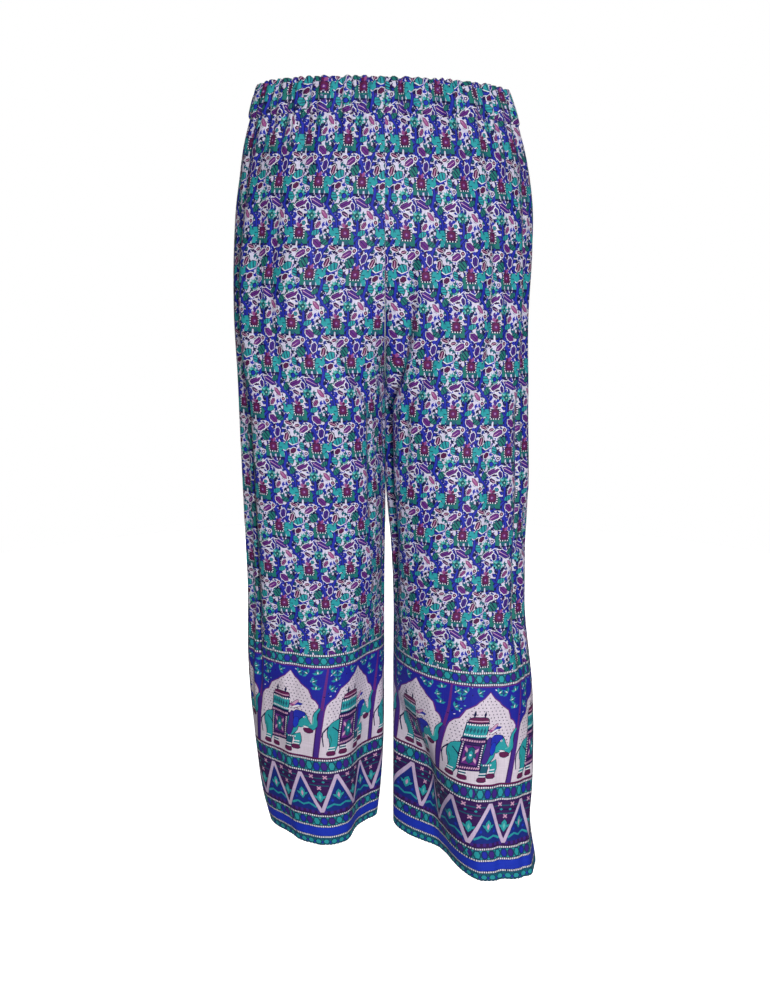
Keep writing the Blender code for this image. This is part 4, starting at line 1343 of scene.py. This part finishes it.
def casing_rows():
    """The casing from its outer lower edge up, over the top and down inside."""
    parts = np.linspace(0.0, 1.0, ELASTIC_STEPS)
    free = smooth_step(parts / SEAM_FLAT) * smooth_step((1.0 - parts) / SEAM_FLAT)
    waves = []
    for leg in ("right", "left"):
        front, back = (gather_wave(leg, side, parts) * free for side in ("front", "back"))
        waves.append(np.concatenate((front, back[-2::-1])))
    wave = all_round(waves)
    bulge_curve = np.polyfit(*zip(*CASING_LEVELS), 2)
    outside = [(level, 0.0) for level in np.linspace(1.0, TOP_LEVEL, 15)]
    top = [(TOP_LEVEL, turn) for turn in np.linspace(0.0, math.pi, 8)[1:-1]]
    inside = [(level, math.pi) for level in np.linspace(TOP_LEVEL, INSIDE_END, 10)]
    rows = []
    for level, turn in outside + top + inside:
        ring = all_round([leg_row(leg, level * CASING_HEIGHT, parts, False)[0] for leg in ("right", "left")])
        edge = EDGE_SHARE + (1.0 - EDGE_SHARE) * smooth_step((1.0 - level) / EDGE_ROUND)
        bulge = CASING_BULGE * np.polyval(bulge_curve, level)
        outer = (CASING_WALL / 2.0 + bulge) * edge + GATHER_HEIGHT * wave
        inner = GATHER_SHARE_INSIDE * GATHER_HEIGHT * wave - CASING_WALL / 2.0 * edge
        place = (outer + inner) / 2.0 + (outer - inner) / 2.0 * math.cos(turn)
        row = ring + outward(ring) * place[:, None]
        near_top = smooth_step(1.0 - level / TOP_REACH)
        row[:, 2] += TOP_RISE * math.sin(turn) + GATHER_SHARE_UP * GATHER_HEIGHT * wave * near_top
        rows.append(row)
    return rows


def box_outline(left, low, right, high, across_pitch, up_pitch):
    """The four sides of a strip as points, anticlockwise."""
    across = np.linspace(left, right, round((right - left) / across_pitch) + 1)
    up = np.linspace(low, high, round((high - low) / up_pitch) + 1)
    return np.concatenate((
        np.stack((across, np.full(len(across), low)), axis=1)[:-1],
        np.stack((np.full(len(up), right), up), axis=1)[:-1],
        np.stack((across, np.full(len(across), high)), axis=1)[:0:-1],
        np.stack((np.full(len(up), left), up), axis=1)[:0:-1],
    ))


def make_casing():
    points, normals, path = folded_net(casing_rows())
    quarters = np.cumsum([0.0] + [HIP_CUT[side] * TO_MM for side in ("back", "front", "front", "back")])
    middle = quarters[2]
    steps = (ELASTIC_STEPS - 1) * np.arange(5)
    sewn_at = (HEM_DROP - CASING_HEIGHT) * TO_MM

    def carry(flat):
        column = np.interp(flat[:, 0] - CASING_PRINT_FROM + middle, quarters, steps)
        row = np.interp(flat[:, 1] - sewn_at, path, np.arange(len(path)))
        return on_net(points, normals, row, column)

    left = CASING_PRINT_FROM - middle + SEAM_GAP / 2 * TO_MM
    right = CASING_PRINT_FROM + middle - SEAM_GAP / 2 * TO_MM
    low = sewn_at + SEAM_GAP / 2 * TO_MM
    high = sewn_at + path[-1]
    outline = box_outline(left, low, right, high, *CASING_EDGE_PITCHES)
    filling = filling_points(left, low, right, high, CASING_NET_PITCH)
    flat, triangles = cut_out(outline, print_lines(left, low, right, high), filling, CASING_NET_PITCH)
    casing = thin_cloth("waist_casing_cloth", flat, triangles, carry, filling)
    casing.data.materials.append(PRINTED_RAYON)
    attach(casing, "root")
    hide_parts("waist_casing")


make_casing()


# ----------------------------------------------------------------------------------------------------------
# The hems: the cloth's edge is turned up inside and stitched all round with matching polyester thread. The
# stitches lie in the plain blue band, close under the turned-in edge.

HEM_WALL = 0.0020
HEM_TURNED_UP = 0.0160
HEM_NET_PITCH = 5.0
HEM_EDGE_PITCH = 3.0
HEM_CELL = 0.8
# The heights of the rows of points round the fold itself, and where they take over from the wider net.
HEM_FOLD_ROWS = (0.1, -0.8, -1.6, -2.4, -3.2)
HEM_FOLD_REACH = (-3.6, 0.5)
STITCH_HEIGHT = 15.0
STITCH_PITCH = 2.8
STITCH_LENGTH = 2.1
STITCH_WIDTH = 0.45
STITCH_RISE = 0.20
STITCH_SHOULDER = 0.22


def hem_ring(leg, drop):
    """A leg's row from its side seam, round to the right of whoever faces the cloth."""
    row = leg_row(leg, drop, NET_PARTS)[0]
    half = len(NET_PARTS)
    if leg == "right":
        return np.concatenate((row[:half][::-1], row[half - 1 :][::-1][1:]))
    return np.concatenate((row[half - 1 :], row[1:half]))


def hem_net(leg):
    """The hem from its turned-in edge down inside, round the bottom and up outside."""
    radius = HEM_WALL / 2.0
    bottom = HEM_DROP - radius
    inside = [(drop, math.pi) for drop in np.linspace(HEM_DROP - HEM_TURNED_UP, bottom, 5)]
    turned = [(bottom, turn) for turn in np.linspace(math.pi, 0.0, 8)[1:-1]]
    outside = [(drop, 0.0) for drop in np.linspace(bottom, HEM_DROP - HEM_DEPTH, 6)]
    rows = []
    for drop, turn in inside + turned + outside:
        ring = hem_ring(leg, drop)
        row = ring + outward(ring) * radius * (math.cos(turn) - 1.0)
        row[:, 2] -= radius * math.sin(turn)
        rows.append(row)
    return folded_net(rows)


def make_hem(leg):
    points, normals, path = hem_net(leg)
    ring = np.linalg.norm(np.diff(points[-1], axis=0), axis=1)
    walked = np.concatenate(([0.0], np.cumsum(ring))) * TO_MM
    start = LAID["front", leg][0]
    top = HEM_DEPTH * TO_MM

    def carry(flat):
        column = np.interp(flat[:, 0] - start, walked, np.arange(len(walked)))
        row = np.interp(path[-1] - top + flat[:, 1], path, np.arange(len(path)))
        return on_net(points, normals, row, column)

    left = start + SEAM_GAP / 2 * TO_MM
    right = start + walked[-1] - SEAM_GAP / 2 * TO_MM
    low = top - path[-1]
    high = top - SEAM_GAP / 2 * TO_MM
    outline = box_outline(left, low, right, high, HEM_EDGE_PITCH, HEM_EDGE_PITCH)
    filling = filling_points(left, low, right, high, HEM_NET_PITCH)
    fold = [(x, y) for y in HEM_FOLD_ROWS
            for x in np.arange(left + y % HEM_NET_PITCH + 0.5, right, HEM_NET_PITCH)]
    beside_fold = (filling[:, 1] > HEM_FOLD_REACH[1]) | (filling[:, 1] < HEM_FOLD_REACH[0])
    filling = np.concatenate((filling[beside_fold], fold))
    flat, triangles = cut_out(outline, print_lines(left, low, right, high), filling, HEM_CELL)
    hem = thin_cloth(f"hem_cloth_{leg}_leg", flat, triangles, carry, filling)
    hem.data.materials.append(PRINTED_RAYON)
    stitches = make_stitches(leg, carry, left, right, path[-1])
    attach(hem, "root")
    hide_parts(f"hem_{leg}_leg")


def make_stitches(leg, carry, left, right, path_length):
    """A row of lockstitches through the hem, outside and inside, each a small raised grain of thread."""
    centres = np.arange(left + STITCH_PITCH / 2, right - STITCH_PITCH / 2, STITCH_PITCH)
    points = []
    faces = []
    inside_height = HEM_DEPTH * TO_MM - path_length + (HEM_TURNED_UP * TO_MM - STITCH_HEIGHT)
    for height in (STITCH_HEIGHT, inside_height):
        flat = np.stack((centres, np.full(len(centres), height)), axis=1)
        at, out = carry(flat)
        one, _ = carry(flat - (STITCH_LENGTH / 2, 0.0))
        two, _ = carry(flat + (STITCH_LENGTH / 2, 0.0))
        along_it = two - one
        side = np.cross(out, along_it)
        side = side / np.linalg.norm(side, axis=1, keepdims=True) * STITCH_WIDTH / 2.0 / TO_MM
        rise = out * STITCH_RISE / TO_MM
        for number in range(len(centres)):
            base = len(points)
            shoulder = along_it[number] * STITCH_SHOULDER
            points += [one[number], two[number]]
            for middle in (at[number] - shoulder, at[number] + shoulder):
                points += [middle + side[number], middle + rise[number],
                           middle - side[number], middle - rise[number] * 0.5]
            near, far = base + 2, base + 6
            for corner in range(4):
                after = (corner + 1) % 4
                faces += [(base, near + after, near + corner), (near + corner, near + after, far + after),
                          (near + corner, far + after, far + corner), (base + 1, far + corner, far + after)]
    data = bpy.data.meshes.new(f"hem_stitches_{leg}_leg")
    data.from_pydata([tuple(point) for point in points], [], faces)
    data.shade_smooth()
    data.materials.append(SEWING_THREAD)
    thing = bpy.data.objects.new(f"hem_stitches_{leg}_leg", data)
    bpy.context.scene.collection.objects.link(thing)
    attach(thing, "root")
    return thing


def sewing_thread():
    """Spun polyester thread, dyed royal blue: twisted, a little brighter than the cloth it lies on.

    Its twist is 0.3 mm long, drawn at 0.5 mm.
    """
    material = bpy.data.materials.new("polyester_sewing_thread")
    material.use_nodes = True
    tree = material.node_tree
    shader = tree.nodes["Principled BSDF"]
    place = add_node(tree, "ShaderNodeTexCoord")
    twist_pitch = 0.0005
    twist = add_node(tree, "ShaderNodeTexWave", {"bands_direction": "DIAGONAL"},
                     {"Vector": place.outputs["Object"], "Scale": 0.32 / twist_pitch, "Distortion": 0.5})
    shade = add_node(tree, "ShaderNodeValToRGB", None, {0: twist.outputs[0]})
    shade.color_ramp.elements[0].color = linear("#16247C")
    shade.color_ramp.elements[1].color = linear("#3450C8")
    tree.links.new(shade.outputs["Color"], shader.inputs["Base Color"])
    shader.inputs["Roughness"].default_value = 0.45
    shader.inputs["IOR"].default_value = 1.54
    shader.inputs["Sheen Weight"].default_value = 0.10
    return material


SEWING_THREAD = sewing_thread()
for leg in ("right", "left"):
    make_hem(leg)


# ----------------------------------------------------------------------------------------------------------
# The room: a plain floor and walls so white that no edge or shadow shows, as in the picture, and a flash
# close to the camera that leaves the garment's sides dark.

ROOM_LIGHT = 0.12
CAMERA_DISTANCE = 1.2
CAMERA_HEIGHT = -0.204
CAMERA_DOWN_DEGREES = 13.3
FOCAL_PIXELS = 939.0
PHOTO_WIDE = 770.0
SENSOR = 36.0
FLOOR_HEIGHT = -1.04
FLOOR_RADIUS = 2.0
FLOOR_CORNERS = 96


def add_light(name, size, power_watts, place, aim):
    """A round soft light that shines from its place to its aim."""
    light = bpy.data.lights.new(name, "AREA")
    light.shape = "DISK"
    light.size = size
    light.energy = power_watts
    thing = bpy.data.objects.new(name, light)
    thing.location = place
    direction = np.array(aim) - np.array(place)
    thing.rotation_euler = (
        math.atan2(math.hypot(direction[0], direction[1]), -direction[2]),
        0.0,
        math.atan2(-direction[0], direction[1]),
    )
    bpy.context.scene.collection.objects.link(thing)


def white_floor():
    """A plain floor of matt white vinyl, lit through, at a wearer's soles. It throws no light upward."""
    turn = np.linspace(0.0, 2.0 * np.pi, FLOOR_CORNERS, endpoint=False)
    ring = FLOOR_RADIUS * np.stack([np.cos(turn), np.sin(turn)], axis=1)
    data = bpy.data.meshes.new("white_floor")
    data.from_pydata([(x, y, FLOOR_HEIGHT) for x, y in ring], [], [range(FLOOR_CORNERS)])
    material = bpy.data.materials.new("matt_white_studio_vinyl")
    material.use_nodes = True
    shader = material.node_tree.nodes["Principled BSDF"]
    shader.inputs["Base Color"].default_value = linear("#F4F4F4")
    shader.inputs["Roughness"].default_value = 0.9
    shader.inputs["Emission Color"].default_value = linear("#FFFFFF")
    shader.inputs["Emission Strength"].default_value = 1.0
    data.materials.append(material)
    thing = bpy.data.objects.new("white_floor", data)
    thing.visible_diffuse = False
    thing.visible_glossy = False
    bpy.context.scene.collection.objects.link(thing)


def white_room():
    """The room: white where the camera looks at it, dimmer as a light."""
    world = bpy.data.worlds.new("white_room")
    world.use_nodes = True
    tree = world.node_tree
    seen = add_node(tree, "ShaderNodeLightPath")
    brightness = add_node(tree, "ShaderNodeMapRange", None,
                          {"Value": seen.outputs["Is Camera Ray"], "To Min": ROOM_LIGHT, "To Max": 1.0})
    tree.nodes["Background"].inputs["Color"].default_value = linear("#FFFFFF")
    tree.links.new(brightness.outputs["Result"], tree.nodes["Background"].inputs["Strength"])
    return world


add_light("flash_beside_the_camera", 0.35, 27.0, (0.24, -1.85, -0.20), (0.0, 0.0, -0.52))
add_light("soft_top_light", 1.8, 5.0, (0.3, 0.4, 1.9), (0.0, 0.2, -0.5))
add_light("light_behind", 1.2, 20.0, (-0.4, 2.1, 0.1), (0.0, 0.0, -0.5))
white_floor()
bpy.context.scene.world = white_room()
bpy.context.scene.view_settings.view_transform = "Standard"

camera = bpy.data.cameras.new("photo_camera")
camera.sensor_fit = "HORIZONTAL"
camera.sensor_width = SENSOR
camera.lens = FOCAL_PIXELS * SENSOR / PHOTO_WIDE
camera_thing = bpy.data.objects.new("photo_camera", camera)
camera_thing.location = (0.0, -CAMERA_DISTANCE, CAMERA_HEIGHT)
camera_thing.rotation_euler = (math.radians(90.0 - CAMERA_DOWN_DEGREES), 0.0, 0.0)
bpy.context.scene.collection.objects.link(camera_thing)
bpy.context.scene.camera = camera_thing
